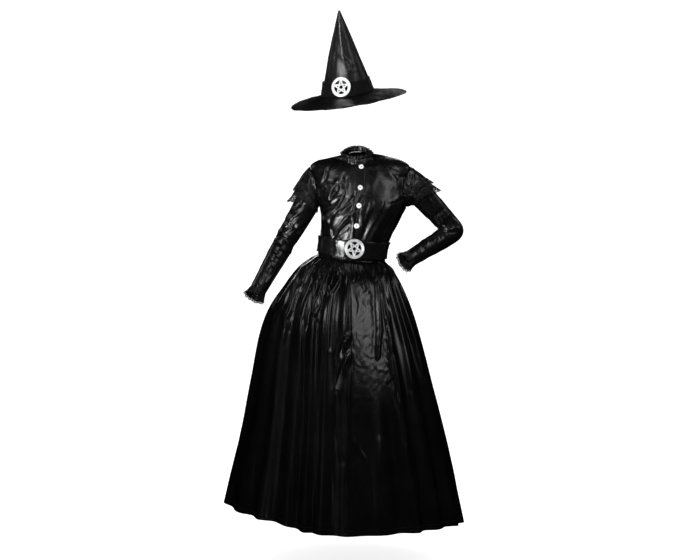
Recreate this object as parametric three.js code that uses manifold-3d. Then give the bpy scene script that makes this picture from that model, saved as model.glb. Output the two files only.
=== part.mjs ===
// Witch costume, in its worn shape with no wearer: a long-sleeved dress with a button front, stand
// collar, short over-sleeves, lace ruffles and a full gathered skirt, a wide belt with a round star
// buckle, and a tall pointed hat with a band and a second star buckle.
//
// Millimetres, +Z up. The front of the dress looks along -Y, and the wearer's right side is -X.
// The origin is in the middle of the dress at shoulder height, where the shoulders carry it.
// Every piece of cloth is a thin closed wall, built from rings or rows of points on a surface.
import * as THREE from "three";
import { mergeVertices } from "three/addons/utils/BufferGeometryUtils.js";
import Module from "manifold-3d";

const wasm = await Module();
wasm.setup();

// Driving dimensions
const CLOTH = 1.6; // wall of the dress cloth
const LACE = 1.2; // wall of the lace ruffles
const SEAM_GAP = 0.36; // free space between two sewn edges
const LAYER_GAP = 0.35; // free space between two layers of cloth
const WAIST_Z = -336; // waist seam at the sides
const HEM_Z = -1237; // mean height of the hem
const BELT_HEIGHT = 56;
const BELT_THICK = 3;
const BELT_CLEAR = 3.8; // from the dress form to the belt's inner face
const BELT_BELOW_WAIST = 2;
const PLACKET_WIDTH = 30;
const BUTTON_DIAMETER = 17.5;
const BUCKLE_DIAMETER = 68;
const HAT_HEIGHT = 287;
const BRIM_DIAMETER = 406;

const DEG = Math.PI / 180;
const vec = (x, y, z) => new THREE.Vector3(x, y, z);
const mix = (a, b, t) => a + (b - a) * t;
const clamp = (t, low = 0, high = 1) => Math.min(high, Math.max(low, t));
const ease = (t) => clamp(t) ** 2 * (3 - 2 * clamp(t));
const bell = (d, width) => Math.exp(-((d / width) ** 2));

// Reads a table whose rows have named columns: a smooth curve through every column, by the key column.
function track(table, key) {
  const at = table.map((row) => row[key]);
  const rising = at[at.length - 1] > at[0];
  const columns = Object.keys(table[0]);
  const slope = (column, i) => {
    const a = Math.max(i - 1, 0);
    const b = Math.min(i + 1, table.length - 1);
    return (table[b][column] - table[a][column]) / (at[b] - at[a]);
  };
  return (value) => {
    let i = 0;
    while (i < at.length - 2 && (rising ? value > at[i + 1] : value < at[i + 1])) i += 1;
    const span = at[i + 1] - at[i];
    const t = clamp((value - at[i]) / span);
    const found = {};
    for (const column of columns) {
      const p = table[i][column];
      const q = table[i + 1][column];
      const m = slope(column, i) * span;
      const n = slope(column, i + 1) * span;
      const t2 = t * t;
      const t3 = t2 * t;
      found[column] =
        (2 * t3 - 3 * t2 + 1) * p + (t3 - 2 * t2 + t) * m + (3 * t2 - 2 * t3) * q + (t3 - t2) * n;
    }
    return found;
  };
}

// Walls

// A point of a sheet: its place and the sheet's outward normal there, from the surface function.
function sheetPoint(surface, u, v) {
  const step = 1e-3;
  const along = surface(u + step, v).sub(surface(u - step, v));
  const up = surface(u, v + step).sub(surface(u, v - step));
  return { u, place: surface(u, v), normal: along.cross(up).normalize() };
}

// A closed wall round a sheet. rows holds sheet points from the low v to the high v. Two neighbouring
// rows may differ in how many points they have. outward is -1 where u runs the other way round.
function wall(rows, thickness, { closed = false, outward = 1, lift = 0 } = {}) {
  const positions = [];
  const index = [];
  const put = (p, offset) => {
    const q = p.place.clone().addScaledVector(p.normal, outward * offset);
    positions.push(q.x, q.y, q.z);
    return positions.length / 3 - 1;
  };
  const outer = rows.map((row) => row.map((p) => put(p, lift + thickness / 2)));
  const inner = rows.map((row) => row.map((p) => put(p, lift - thickness / 2)));
  const face = (a, b, c) => (outward > 0 ? index.push(a, b, c) : index.push(a, c, b));
  const quad = (a, b, c, d) => {
    face(a, b, c);
    face(a, c, d);
  };
  const zip = (low, high, lowRow, highRow, turned) => {
    let i = 0;
    let j = 0;
    while (i < low.length - 1 || j < high.length - 1) {
      const nextLow = i < low.length - 1 ? lowRow[i + 1].u : Infinity;
      const nextHigh = j < high.length - 1 ? highRow[j + 1].u : Infinity;
      if (nextLow <= nextHigh) {
        const [b, c] = turned ? [high[j], low[i + 1]] : [low[i + 1], high[j]];
        face(low[i], b, c);
        i += 1;
      } else {
        const [b, c] = turned ? [high[j], high[j + 1]] : [high[j + 1], high[j]];
        face(low[i], b, c);
        j += 1;
      }
    }
  };
  for (let r = 0; r < rows.length - 1; r += 1) {
    zip(outer[r], outer[r + 1], rows[r], rows[r + 1], false);
    zip(inner[r], inner[r + 1], rows[r], rows[r + 1], true);
    if (!closed) {
      const end = [outer[r].length - 1, outer[r + 1].length - 1];
      quad(outer[r][0], outer[r + 1][0], inner[r + 1][0], inner[r][0]);
      quad(outer[r][end[0]], inner[r][end[0]], inner[r + 1][end[1]], outer[r + 1][end[1]]);
    }
  }
  const top = rows.length - 1;
  for (let c = 0; c < outer[0].length - 1; c += 1)
    quad(outer[0][c], inner[0][c], inner[0][c + 1], outer[0][c + 1]);
  for (let c = 0; c < outer[top].length - 1; c += 1)
    quad(outer[top][c], outer[top][c + 1], inner[top][c + 1], inner[top][c]);
  const geometry = new THREE.BufferGeometry();
  geometry.setAttribute("position", new THREE.Float32BufferAttribute(positions, 3));
  geometry.setIndex(index);
  return geometry;
}

const steps = (from, to, count) =>
  Array.from({ length: count + 1 }, (_, i) => mix(from, to, i / count));

// Rows of sheet points on a rectangular patch of a surface.
const patch = (surface, us, vs) => vs.map((v) => us.map((u) => sheetPoint(surface, u, v)));

// The dress form: rings from the waist to the neck

// One row for each ring: its height at the sides, its centre, half width, depth to the front and back,
// how far its front dips, its back rises and its wearer's right side rises over its left, and the turn
// of its front middle in degrees.
const TORSO = [
  { z: WAIST_Z, cx: -26, half: 117, front: 90, back: 80, drop: 14, rise: 4, roll: 14, turn: 3 },
  { z: -300, cx: -20, half: 118, front: 93, back: 80, drop: 13, rise: 3, roll: 13, turn: 2 },
  { z: -265, cx: -11, half: 124, front: 100, back: 83, drop: 11, rise: 2, roll: 9, turn: -2 },
  { z: -234, cx: -2, half: 131, front: 108, back: 88, drop: 9, rise: 1, roll: 6, turn: -4 },
  { z: -200, cx: 7, half: 141, front: 113, back: 95, drop: 8, rise: 0, roll: 3, turn: -6 },
  { z: -171, cx: 13, half: 151, front: 112, back: 100, drop: 8, rise: 0, roll: 1, turn: -6 },
  { z: -135, cx: 10, half: 159, front: 106, back: 104, drop: 10, rise: 2, roll: 0, turn: -4 },
  { z: -95, cx: 6, half: 167, front: 96, back: 104, drop: 14, rise: 6, roll: 0, turn: -2 },
  { z: -60, cx: 4, half: 172, front: 84, back: 98, drop: 20, rise: 12, roll: 0, turn: -1 },
  { z: -28, cx: 3, half: 173, front: 72, back: 88, drop: 26, rise: 22, roll: 0, turn: 0 },
  { z: -8, cx: 2, half: 146, front: 64, back: 76, drop: 30, rise: 20, roll: -1, turn: 0 },
  { z: -1, cx: 0, half: 112, front: 60, back: 66, drop: 33, rise: 23, roll: -3, turn: 0 },
  { z: 3, cx: -3, half: 80, front: 56, back: 57, drop: 34, rise: 22, roll: -3, turn: 0 },
  { z: -4, cx: -8, half: 53, front: 52, back: 50, drop: 26, rise: 30, roll: -1, turn: 0 },
];
const ARMPIT_ROW = 5;
const SHOULDER_ROW = 9;
// s is the length along the side of the form, up from the waist seam.
TORSO.forEach((row, i) => {
  const before = TORSO[i - 1];
  row.s = i ? before.s + Math.hypot(row.z - before.z, row.half - before.half) : 0;
});
const torsoRing = track(TORSO, "s");
const NECK_S = TORSO[TORSO.length - 1].s;
const ARMPIT_S = TORSO[ARMPIT_ROW].s;
const SHOULDER_S = TORSO[SHOULDER_ROW].s;
const SECTION_POWER = 0.93; // under 1 makes a ring a little squarer than an ellipse

// The bust cups: where they stand on the form, how wide and how deep.
const CUPS = [
  { angle: -37, s: 128, wide: 20, tall: 46, out: 15 },
  { angle: 34, s: 128, wide: 20, tall: 46, out: 15 },
];
// The largest folds of the bodice, from one place to another: angle in degrees and s. A width is in
// millimetres, and a depth below zero is a trough.
const BODICE_FOLDS = [
  { angle: -8, s: 150, angle2: -46, s2: 52, width: 18, depth: 4.5 },
  { angle: -14, s: 118, angle2: -30, s2: 50, width: 15, depth: -3.6 },
  { angle: -30, s: 170, angle2: -56, s2: 118, width: 17, depth: 3.6 },
  { angle: -48, s: 200, angle2: -58, s2: 150, width: 16, depth: -3.8 },
  { angle: -62, s: 112, angle2: -50, s2: 48, width: 15, depth: -3 },
  { angle: 22, s: 148, angle2: 8, s2: 50, width: 16, depth: -3.2 },
  { angle: 38, s: 132, angle2: 22, s2: 48, width: 16, depth: 3.2 },
  { angle: 56, s: 138, angle2: 38, s2: 46, width: 16, depth: -3.2 },
  { angle: 52, s: 224, angle2: 66, s2: 168, width: 18, depth: 4 },
  { angle: 72, s: 120, angle2: 58, s2: 52, width: 16, depth: 3 },
  { angle: 132, s: 120, angle2: 158, s2: 46, width: 18, depth: -3.4 },
  { angle: 176, s: 100, angle2: 170, s2: 44, width: 18, depth: 3 },
  { angle: 222, s: 120, angle2: 204, s2: 46, width: 18, depth: -3.4 },
  { angle: 118, s: 230, angle2: 140, s2: 176, width: 18, depth: -3.2 },
  { angle: 240, s: 230, angle2: 218, s2: 176, width: 18, depth: -3.2 },
];
const FORM_RADIUS = 110; // turns an angle on the form into a length

// How far a fold lifts the cloth at a place: a soft ridge that fades at both ends.
function foldLift(fold, angle, s) {
  const ax = fold.angle * DEG * FORM_RADIUS;
  const dx = fold.angle2 * DEG * FORM_RADIUS - ax;
  const ds = fold.s2 - fold.s;
  const px = angle * DEG * FORM_RADIUS - ax;
  const ps = s - fold.s;
  const length = Math.hypot(dx, ds);
  const along = (px * dx + ps * ds) / length ** 2;
  const across = (px * ds - ps * dx) / length;
  return fold.depth * bell(across, fold.width) * ease(along * 3 + 0.5) * ease((1 - along) * 3 + 0.5);
}

const torsoPoint = (angle, s, shaped = true) => {
  const ring = torsoRing(Math.max(s, 0));
  const below = Math.min(s, 0);
  const turned = (angle + ring.turn * Math.cos((angle * DEG) / 2) ** 2) * DEG;
  const side = Math.sin(turned);
  const ahead = Math.cos(turned);
  const sx = Math.sign(side) * Math.abs(side) ** SECTION_POWER;
  const sy = Math.sign(ahead) * Math.abs(ahead) ** SECTION_POWER;
  const depth = ahead > 0 ? ring.front : ring.back;
  const dip = ahead > 0 ? -ring.drop * ahead ** 1.5 : ring.rise * (-ahead) ** 1.5;
  let out = 0;
  if (shaped) {
    for (const cup of CUPS)
      out += cup.out * bell(angle - cup.angle, cup.wide) * bell(s - cup.s, cup.tall);
    const wrapped = angle < -90 ? angle + 360 : angle;
    for (const fold of BODICE_FOLDS) out += foldLift(fold, wrapped, s);
  }
  return vec(
    ring.cx + (ring.half + out) * sx,
    -(depth + out) * sy,
    ring.z + below + dip - ring.roll * side,
  );
};

// Armholes: closed curves on the sides of the form. around is 0 at the armpit, 90 at the front edge,
// 180 at the shoulder tip and 270 at the back edge.
const ARMHOLE_HALF_ANGLE = 27;
const armholeS = (around) =>
  mix(ARMPIT_S, SHOULDER_S, (1 - Math.cos(around * DEG)) / 2);
const armholeAngle = (side, around) =>
  side * (90 - ARMHOLE_HALF_ANGLE * Math.sin(around * DEG));
const armholePoint = (side, around) =>
  torsoPoint(armholeAngle(side, around), armholeS(around));

// Bodice panels

const NECK_SEAM = 0.9; // from a panel's top edge to the collar's line
const PLACKET_END = 3.6; // and from the button band's top edge
const ARMHOLE_STEPS = 8; // rows of a panel up one edge of the armhole
const ARMHOLE_STEP = 180 / ARMHOLE_STEPS;
const bodiceRows = [
  ...steps(SEAM_GAP / 2, ARMPIT_S, 6).map((s) => ({ s, open: 0 })),
  ...steps(ARMHOLE_STEP, 180, ARMHOLE_STEPS - 1).map((around) => ({
    s: armholeS(around),
    open: ARMHOLE_HALF_ANGLE * Math.sin(around * DEG),
  })),
  ...steps(SHOULDER_S, NECK_S - NECK_SEAM, 3)
    .slice(1)
    .map((s) => ({ s, open: 0 })),
];

// Angles of the sewn front edge and of the band's edge at a row.
const frontAngles = (s) => {
  const perMillimetre = 1 / (torsoRing(s).half * DEG);
  return [(SEAM_GAP / 2) * perMillimetre, (PLACKET_WIDTH / 2) * perMillimetre];
};
const onTorso = (angle, s) => sheetPoint((a, v) => torsoPoint(a, v), angle, s);

// A front panel from the front middle to the side, where its edge gives way to the armhole. side is
// -1 for the wearer's right.
function frontPanel(side, columns) {
  const rows = bodiceRows.map(({ s, open }) => {
    const [edge, band] = frontAngles(s);
    const last = 90 - edge - open;
    const angles = [edge, ...steps(band, last, columns)].map((angle) => side * angle);
    return (side < 0 ? angles.reverse() : angles).map((angle) => onTorso(angle, s));
  });
  return wall(rows, CLOTH);
}

function backPanel(columns) {
  const rows = bodiceRows.map(({ s, open }) => {
    const edge = frontAngles(s)[0] + open;
    return steps(90 + edge, 270 - edge, columns).map((angle) => onTorso(angle, s));
  });
  return wall(rows, CLOTH);
}

// The button band lies on both front panels, over their meeting edges.
function placket() {
  const ss = bodiceRows.map((row) => row.s);
  ss[ss.length - 1] = NECK_S - PLACKET_END;
  const rows = ss.map((s) => {
    const [edge, band] = frontAngles(s);
    return [-band, -edge, edge, band].map((angle) => onTorso(angle, s));
  });
  return wall(rows, CLOTH, { lift: CLOTH + LAYER_GAP });
}

// A button: a turned disc with a raised rim and a dished middle.
function button() {
  const r = BUTTON_DIAMETER / 2;
  const profile = [
    [0, 0],
    [r - 1.6, 0],
    [r, 1.3],
    [r - 1.3, 3],
    [r * 0.5, 2.1],
    [0, 1.9],
  ].map(([x, y]) => new THREE.Vector2(x, y));
  return new THREE.LatheGeometry(profile, 14);
}

const BUTTON_S = [104, 174, 243, 344]; // from the lowest button to the highest
const BUTTON_TURN = 1.5; // the buttons stand this many degrees to the wearer's left of the middle

// Collar

const COLLAR_HEIGHT = 24;
const COLLAR_SIDE = 0.74; // height of the collar's sides and back as a share of its front
const COLLAR_LIFT = 1.8; // from the neck seam to the collar's lower edge
const COLLAR_TAPER = 3; // how much narrower the collar is at its top
const COLLAR_SLIT = 1.2; // the collar's meeting edges at the front middle
const COLLAR_LACE_WAVES = 16;
const COLLAR_LACE_HEIGHT = 13;

// The collar stands on the neck ring. v is the height above the neck seam.
function collarPoint(angle, v) {
  const seam = torsoPoint(angle, NECK_S, false);
  const lean = 1 - (COLLAR_TAPER / 53) * (v / COLLAR_HEIGHT);
  const up = mix(COLLAR_SIDE, 1, Math.max(0, Math.cos(angle * DEG))) * v;
  const centre = TORSO[TORSO.length - 1].cx;
  return vec(mix(centre, seam.x, lean), seam.y * lean, seam.z + up);
}

function collarBand() {
  const half = COLLAR_SLIT / 2 / (56 * DEG);
  const us = steps(half, 360 - half, 24);
  return wall(patch(collarPoint, us, [COLLAR_LIFT, COLLAR_HEIGHT]), CLOTH);
}

// Lace ruffles: waves that open towards the free edge. t runs from the sewn edge, 0, to the free edge, 1.
const ruffleWave = (turns, waves) =>
  Math.cos(turns * waves * 2 * Math.PI + 1.3 * Math.sin(turns * 2 * Math.PI * 3));

function collarLacePoint(angle, t) {
  const root = collarPoint(angle, COLLAR_HEIGHT - 5 + COLLAR_LACE_HEIGHT * t);
  const out = CLOTH + LAYER_GAP + 0.4 + 6 * t + 3.6 * t * ruffleWave(angle / 360, COLLAR_LACE_WAVES);
  const away = vec(root.x - TORSO[TORSO.length - 1].cx, root.y, 0).normalize();
  return root.addScaledVector(away, out);
}

function collarLace() {
  const half = COLLAR_SLIT / (56 * DEG);
  const us = steps(half, 360 - half, COLLAR_LACE_WAVES * 4);
  return wall(patch(collarLacePoint, us, [0, 1]), LACE);
}

// Arms: each sleeve follows a line with one bend at the elbow

const ARMS = {
  right: {
    side: -1,
    capOut: 76,
    capFlare: 12,
    rootGap: 1.3, // from the armhole's edge to the sleeve's first edge, along the arm
    shoulder: vec(-146, 0, -98),
    elbow: vec(-263, 20, -297),
    wrist: vec(-352, -70, -469),
    bend: 80,
    point: 0.1,
  },
  left: {
    side: 1,
    capOut: 90,
    capFlare: 9,
    rootGap: 0.8,
    shoulder: vec(166, 0, -75),
    elbow: vec(341, 60, -253),
    wrist: vec(172, -30, -356),
    bend: 42,
    point: 0.6,
  },
};
// The sleeve's radius by its share of the way from shoulder to wrist.
const sleeveRadius = track(
  [
    { at: 0, r: 46 },
    { at: 0.2, r: 43 },
    { at: 0.36, r: 40.5 },
    { at: 0.5, r: 37 },
    { at: 0.62, r: 36.5 },
    { at: 0.8, r: 32 },
    { at: 1, r: 28 },
  ],
  "at",
);
const ROOT_INSET = 2.6; // the sleeve's first edge lies this far inside the armhole
const ROOT_INSET_LOW = 4.8; // and this far under the arm
const BLEND = 84; // how far down the arm the armhole's shape has become round

// Prepares an arm: its two straight stretches, and the arc between them.
function armLine(arm) {
  const upper = arm.elbow.clone().sub(arm.shoulder);
  const lower = arm.wrist.clone().sub(arm.elbow);
  const upperDir = upper.clone().normalize();
  const lowerDir = lower.clone().normalize();
  const turn = upperDir.angleTo(lowerDir);
  const cut = arm.bend * Math.tan(turn / 2);
  const axis = upperDir.clone().cross(lowerDir).normalize();
  const inward = axis.clone().cross(upperDir).normalize();
  const start = arm.elbow.clone().addScaledVector(upperDir, -cut);
  const centre = start.clone().addScaledVector(inward, arm.bend);
  const straight = upper.length() - cut;
  const arc = arm.bend * turn;
  const length = straight + arc + lower.length() - cut;
  // Top is the outer side of the shoulder, and fore the side to the front.
  const fore = vec(0, -1, 0);
  fore.addScaledVector(upperDir, -fore.dot(upperDir)).normalize();
  const top = fore.clone().cross(upperDir).multiplyScalar(arm.side).normalize();
  return { ...arm, upperDir, lowerDir, turn, axis, inward, start, centre, straight, arc, length, top, fore };
}

// The place and the directions of the arm's line at a length from the shoulder.
function armFrame(arm, at) {
  const angle = arm.turn * clamp((at - arm.straight) / arm.arc);
  const spin = (v) => v.clone().applyAxisAngle(arm.axis, angle);
  const dir = spin(arm.upperDir);
  let place;
  if (at < arm.straight) place = arm.shoulder.clone().addScaledVector(arm.upperDir, at);
  else {
    place = arm.centre.clone().sub(spin(arm.inward).multiplyScalar(arm.bend));
    place.addScaledVector(dir, Math.max(0, at - arm.straight - arm.arc));
  }
  return { place, dir, top: spin(arm.top), fore: spin(arm.fore), inward: spin(arm.inward), angle };
}

// A point round the arm's line. around is counted as at the armhole.
function armPoint(arm, at, around, radius) {
  const frame = armFrame(arm, at);
  const out = frame.top
    .clone()
    .multiplyScalar(-Math.cos(around * DEG))
    .addScaledVector(frame.fore, Math.sin(around * DEG));
  const bump = Math.sin((Math.PI * frame.angle) / arm.turn) ** 3;
  const elbow = Math.max(0, -out.dot(frame.inward)) ** 2 * arm.point * bump;
  return frame.place.addScaledVector(out, radius * (1 + elbow));
}

// 0 under the arm and 1 on the outer side.
const outerShare = (around) => (1 - Math.cos(around * DEG)) / 2;

// The head of a sleeve: it leaves the armhole and ends as a ring round the arm. t runs from 0 to 1.
function fromArmhole(arm, around, t, at, radius) {
  const edge = armholePoint(arm.side, around);
  const hub = arm.shoulder.clone().setZ((armholePoint(arm.side, 0).z + armholePoint(arm.side, 180).z) / 2);
  const toHub = hub.sub(edge).setX(0).normalize();
  const outward = mix(0.9, 0.35, outerShare(around));
  const leave = arm.upperDir.clone().addScaledVector(vec(arm.side, 0, 0), outward).normalize();
  const inset = mix(ROOT_INSET_LOW, ROOT_INSET, outerShare(around));
  const from = edge.addScaledVector(toHub, inset).addScaledVector(leave, arm.rootGap);
  const to = armPoint(arm, at, around, radius);
  const reach = from.distanceTo(to) * 0.36;
  const a = from.clone().addScaledVector(leave, reach);
  const b = to.clone().addScaledVector(arm.upperDir, -reach);
  const k = 1 - t;
  return from
    .multiplyScalar(k ** 3)
    .addScaledVector(a, 3 * k * k * t)
    .addScaledVector(b, 3 * k * t * t)
    .addScaledVector(to, t ** 3);
}

// The largest creases of the sleeves: at is a share of the arm's length, around the side where the
// crease is deepest, and slant moves the crease along the arm on the other side.
const SLEEVE_CREASES = {
  right: [
    { at: 0.36, around: 120, slant: 0.03, width: 8, depth: -2.6 },
    { at: 0.455, around: 150, slant: 0.035, width: 7, depth: 3.2 },
    { at: 0.5, around: 60, slant: 0.03, width: 8, depth: -2.6 },
    { at: 0.565, around: 30, slant: 0.03, width: 8, depth: 2.2 },
  ],
  left: [
    { at: 0.36, around: 60, slant: 0.03, width: 8, depth: -2.4 },
    { at: 0.43, around: 60, slant: 0.03, width: 7, depth: 2.4 },
    { at: 0.7, around: 60, slant: 0.04, width: 9, depth: -2.2 },
    { at: 0.8, around: 60, slant: 0.04, width: 9, depth: 2 },
  ],
};

function sleevePoint(name, around, at) {
  const arm = ARM_LINES[name];
  const share = clamp(at / arm.length);
  let radius = sleeveRadius(share).r;
  for (const crease of SLEEVE_CREASES[name]) {
    const away = Math.cos((around - crease.around) * DEG);
    const middle = crease.at + crease.slant * (1 - away) * 0.5;
    radius += crease.depth * bell((share - middle) * arm.length, crease.width) * (0.35 + 0.65 * away);
  }
  if (at < BLEND) {
    return fromArmhole(arm, around, at / BLEND, BLEND, sleeveRadius(BLEND / arm.length).r);
  }
  return armPoint(arm, at, around, radius);
}

const ARM_LINES = { right: armLine(ARMS.right), left: armLine(ARMS.left) };
const SLEEVE_SIDES = 16;
const roundArm = steps(0, 360, SLEEVE_SIDES);

function sleeve(name) {
  const arm = ARM_LINES[name];
  const end = arm.straight + arm.arc;
  const ats = [
    ...steps(0, BLEND, 4),
    ...steps(BLEND, arm.straight, 3).slice(1),
    ...steps(arm.straight, end, 5).slice(1),
    ...steps(end, arm.length, 4).slice(1),
  ];
  const rows = patch((around, at) => sleevePoint(name, around, at), roundArm, ats);
  return wall(rows, CLOTH, { closed: true, outward: -arm.side });
}

// What lies on a sleeve is made from the sleeve's points, moved out.
function onSleeve(name, around, at, lift) {
  const seat = sheetPoint((a, v) => sleevePoint(name, a, v), around, at);
  return seat.place.addScaledVector(seat.normal, -ARM_LINES[name].side * lift);
}

// Over-sleeve: sewn into the armhole with the sleeve, and flared to its hem. The hem is longest on the
// outer side and cut higher at the front.
const CAP_IN = 60;
const CAP_FRONT_CUT = 20;
const CAP_BACK_CUT = 8;
const CAP_WAVES = 7;
const LAYER = CLOTH + LAYER_GAP;
function capHem(name, around) {
  const cut = Math.sin(around * DEG) > 0 ? CAP_FRONT_CUT : CAP_BACK_CUT;
  return mix(CAP_IN, ARM_LINES[name].capOut, outerShare(around)) - cut * Math.sin(around * DEG) ** 2;
}
function capLift(name, around, t) {
  const outer = outerShare(around);
  const wave = 1.6 * t * outer * Math.cos(around * CAP_WAVES * DEG);
  const flare = mix(0.3, ARM_LINES[name].capFlare, outer) * ease(clamp(t) * 1.1);
  return LAYER + flare + wave + 2 * outer * Math.sin(Math.PI * clamp(t));
}
// t runs from the armhole, 0, to the hem, 1.
const capPoint = (name, around, t) => onSleeve(name, around, t * capHem(name, around), capLift(name, around, t));

function capSleeve(name) {
  const surface = (around, t) => capPoint(name, around, t);
  const rows = [
    ...patch(surface, roundArm, [0]),
    ...patch(surface, steps(0, 360, SLEEVE_SIDES * 2), [0.35, 0.68, 1]),
  ];
  return wall(rows, CLOTH, { closed: true, outward: -ARM_LINES[name].side });
}

// The lower ruffle is sewn on near the over-sleeve's hem and hangs past it.
const LOWER_WAVES = 14;
const LOWER_ROOT = 6; // its sewn edge above the hem
const LOWER_LENGTH = 30;
const LACE_LAYER = (CLOTH + LACE) / 2 + LAYER_GAP;
function lowerLacePoint(name, around, t) {
  const outer = outerShare(around);
  const wave = mix(0.5, 4, outer) * t * ruffleWave(around / 360, LOWER_WAVES);
  const at = capHem(name, around) - LOWER_ROOT + LOWER_LENGTH * t * mix(0.8, 1, outer);
  const root = capLift(name, around, 1) + LACE_LAYER + 0.15 + 0.8 * outer;
  return onSleeve(name, around, at, root + mix(0, 5, outer) * t + wave);
}

function lowerLace(name) {
  const surface = (around, t) => lowerLacePoint(name, around, t);
  return wall(patch(surface, steps(0, 360, LOWER_WAVES * 4), [0, 1]), LACE, {
    closed: true,
    outward: -ARM_LINES[name].side,
  });
}

// The upper ruffle lies on the outer side of the over-sleeve only, above the lower one.
const UPPER_WAVES = 9;
const UPPER_FROM = 66;
const UPPER_TO = 290;
const UPPER_WIDTH = 24;
const UPPER_ABOVE_HEM = 11;
function upperLacePoint(name, around, t) {
  const share = clamp((around - UPPER_FROM) / (UPPER_TO - UPPER_FROM), 0.01, 0.99);
  const taper = Math.sin(Math.PI * share) ** 0.5;
  const low = capHem(name, around) - UPPER_ABOVE_HEM;
  const at = low - UPPER_WIDTH * (1 - t) * mix(0.35, 1, taper);
  const out = LACE_LAYER + 0.1 + t * (4 * taper + 0.3) + 2.6 * t * taper * ruffleWave(share, UPPER_WAVES);
  return onSleeve(name, around, at, capLift(name, around, at / capHem(name, around)) + out);
}

function upperLace(name) {
  const surface = (around, t) => upperLacePoint(name, around, t);
  return wall(patch(surface, steps(UPPER_FROM, UPPER_TO, UPPER_WAVES * 4), [0, 1]), LACE, {
    outward: -ARM_LINES[name].side,
  });
}

// The cuff ruffle is sewn on over the end of the sleeve and flares past it.
const CUFF_WAVES = 10;
const CUFF_LACE_LENGTH = 29;
function cuffLacePoint(name, around, t) {
  const arm = ARM_LINES[name];
  const radius = sleeveRadius(1).r + CLOTH + LAYER_GAP + 0.5;
  const wave = 3.6 * t * ruffleWave(around / 360, CUFF_WAVES);
  return armPoint(arm, arm.length - 5 + CUFF_LACE_LENGTH * t, around, radius + 7 * t * t + wave);
}

function cuffLace(name) {
  const arm = ARM_LINES[name];
  const surface = (around, t) => cuffLacePoint(name, around, t);
  return wall(patch(surface, steps(0, 360, CUFF_WAVES * 4), [0, 1]), LACE, {
    closed: true,
    outward: -arm.side,
  });
}

// Skirt

// One row for each ring of the skirt's smooth form, from the waist seam to the hem.
const SKIRT = track(
  [
    { z: WAIST_Z - 1.6 * SEAM_GAP, cx: -26, half: 117, front: 90, back: 80, gather: 0.9, fold: 0.4 },
    { z: -349, cx: -27, half: 118, front: 91, back: 82, gather: 0.9, fold: 0.5 },
    { z: -358, cx: -33, half: 129, front: 104, back: 98, gather: 3.2, fold: 2 },
    { z: -390, cx: -45, half: 163, front: 138, back: 136, gather: 4.6, fold: 5 },
    { z: -434, cx: -53, half: 193, front: 173, back: 172, gather: 2.6, fold: 8 },
    { z: -518, cx: -63, half: 237, front: 222, back: 222, gather: 0.6, fold: 10.5 },
    { z: -612, cx: -65, half: 268, front: 258, back: 260, gather: 0, fold: 12 },
    { z: -777, cx: -58, half: 308, front: 304, back: 308, gather: 0, fold: 13 },
    { z: -917, cx: -53, half: 338, front: 337, back: 342, gather: 0, fold: 14 },
    { z: -1057, cx: -51, half: 369, front: 370, back: 375, gather: 0, fold: 15 },
    { z: HEM_Z, cx: -50, half: 410, front: 412, back: 416, gather: 0, fold: 16 },
  ],
  "z",
);
// The fold ridges round the skirt: their angles at the waist and at the hem, and their share of the
// full fold height.
const RIDGES = [
  { waist: -86, hem: -84, size: 0.8 },
  { waist: -66, hem: -58, size: 1 },
  { waist: -49, hem: -41, size: 0.8 },
  { waist: -34, hem: -27, size: 1.1 },
  { waist: -22, hem: -18, size: 0.8 },
  { waist: -10, hem: -11, size: 1 },
  { waist: 8, hem: 1, size: 0.9 },
  { waist: 23, hem: 18, size: 0.9 },
  { waist: 38, hem: 34, size: 1.2 },
  { waist: 56, hem: 48, size: 0.9 },
  { waist: 72, hem: 64, size: 1.1 },
  { waist: 89, hem: 83, size: 0.8 },
  { waist: 108, hem: 103, size: 1.1 },
  { waist: 127, hem: 124, size: 0.9 },
  { waist: 149, hem: 146, size: 1.2 },
  { waist: 170, hem: 168, size: 0.9 },
  { waist: 192, hem: 191, size: 1.1 },
  { waist: 214, hem: 214, size: 0.9 },
  { waist: 235, hem: 237, size: 1.2 },
  { waist: 255, hem: 258, size: 0.9 },
];
// How high the hem hangs round the skirt.
const hemHeight = track(
  [
    { angle: -90, z: -1197 },
    { angle: -60, z: -1198 },
    { angle: -32, z: -1209 },
    { angle: -15, z: -1232 },
    { angle: 0, z: -1239 },
    { angle: 30, z: -1240 },
    { angle: 60, z: -1248 },
    { angle: 90, z: -1266 },
    { angle: 135, z: -1250 },
    { angle: 180, z: -1237 },
    { angle: 225, z: -1222 },
    { angle: 270, z: -1197 },
  ],
  "angle",
);
const FRONT_SEAM = 6; // the ridge whose line is the skirt's front seam
const LEFT_SIDE_SEAM = 11;
const WAIST_DIP = 14;
const WAIST_ROLL = 14;

// fold counts ridges: 6 is the front seam's ridge, and 6.5 the valley after it.
function ridgeAt(fold, share) {
  const count = RIDGES.length;
  const i = Math.floor(fold);
  const angle = (k) => {
    const ridge = RIDGES[((k % count) + count) % count];
    return mix(ridge.waist, ridge.hem, share) + 360 * Math.floor(k / count);
  };
  return mix(angle(i), angle(i + 1), fold - i);
}

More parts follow.
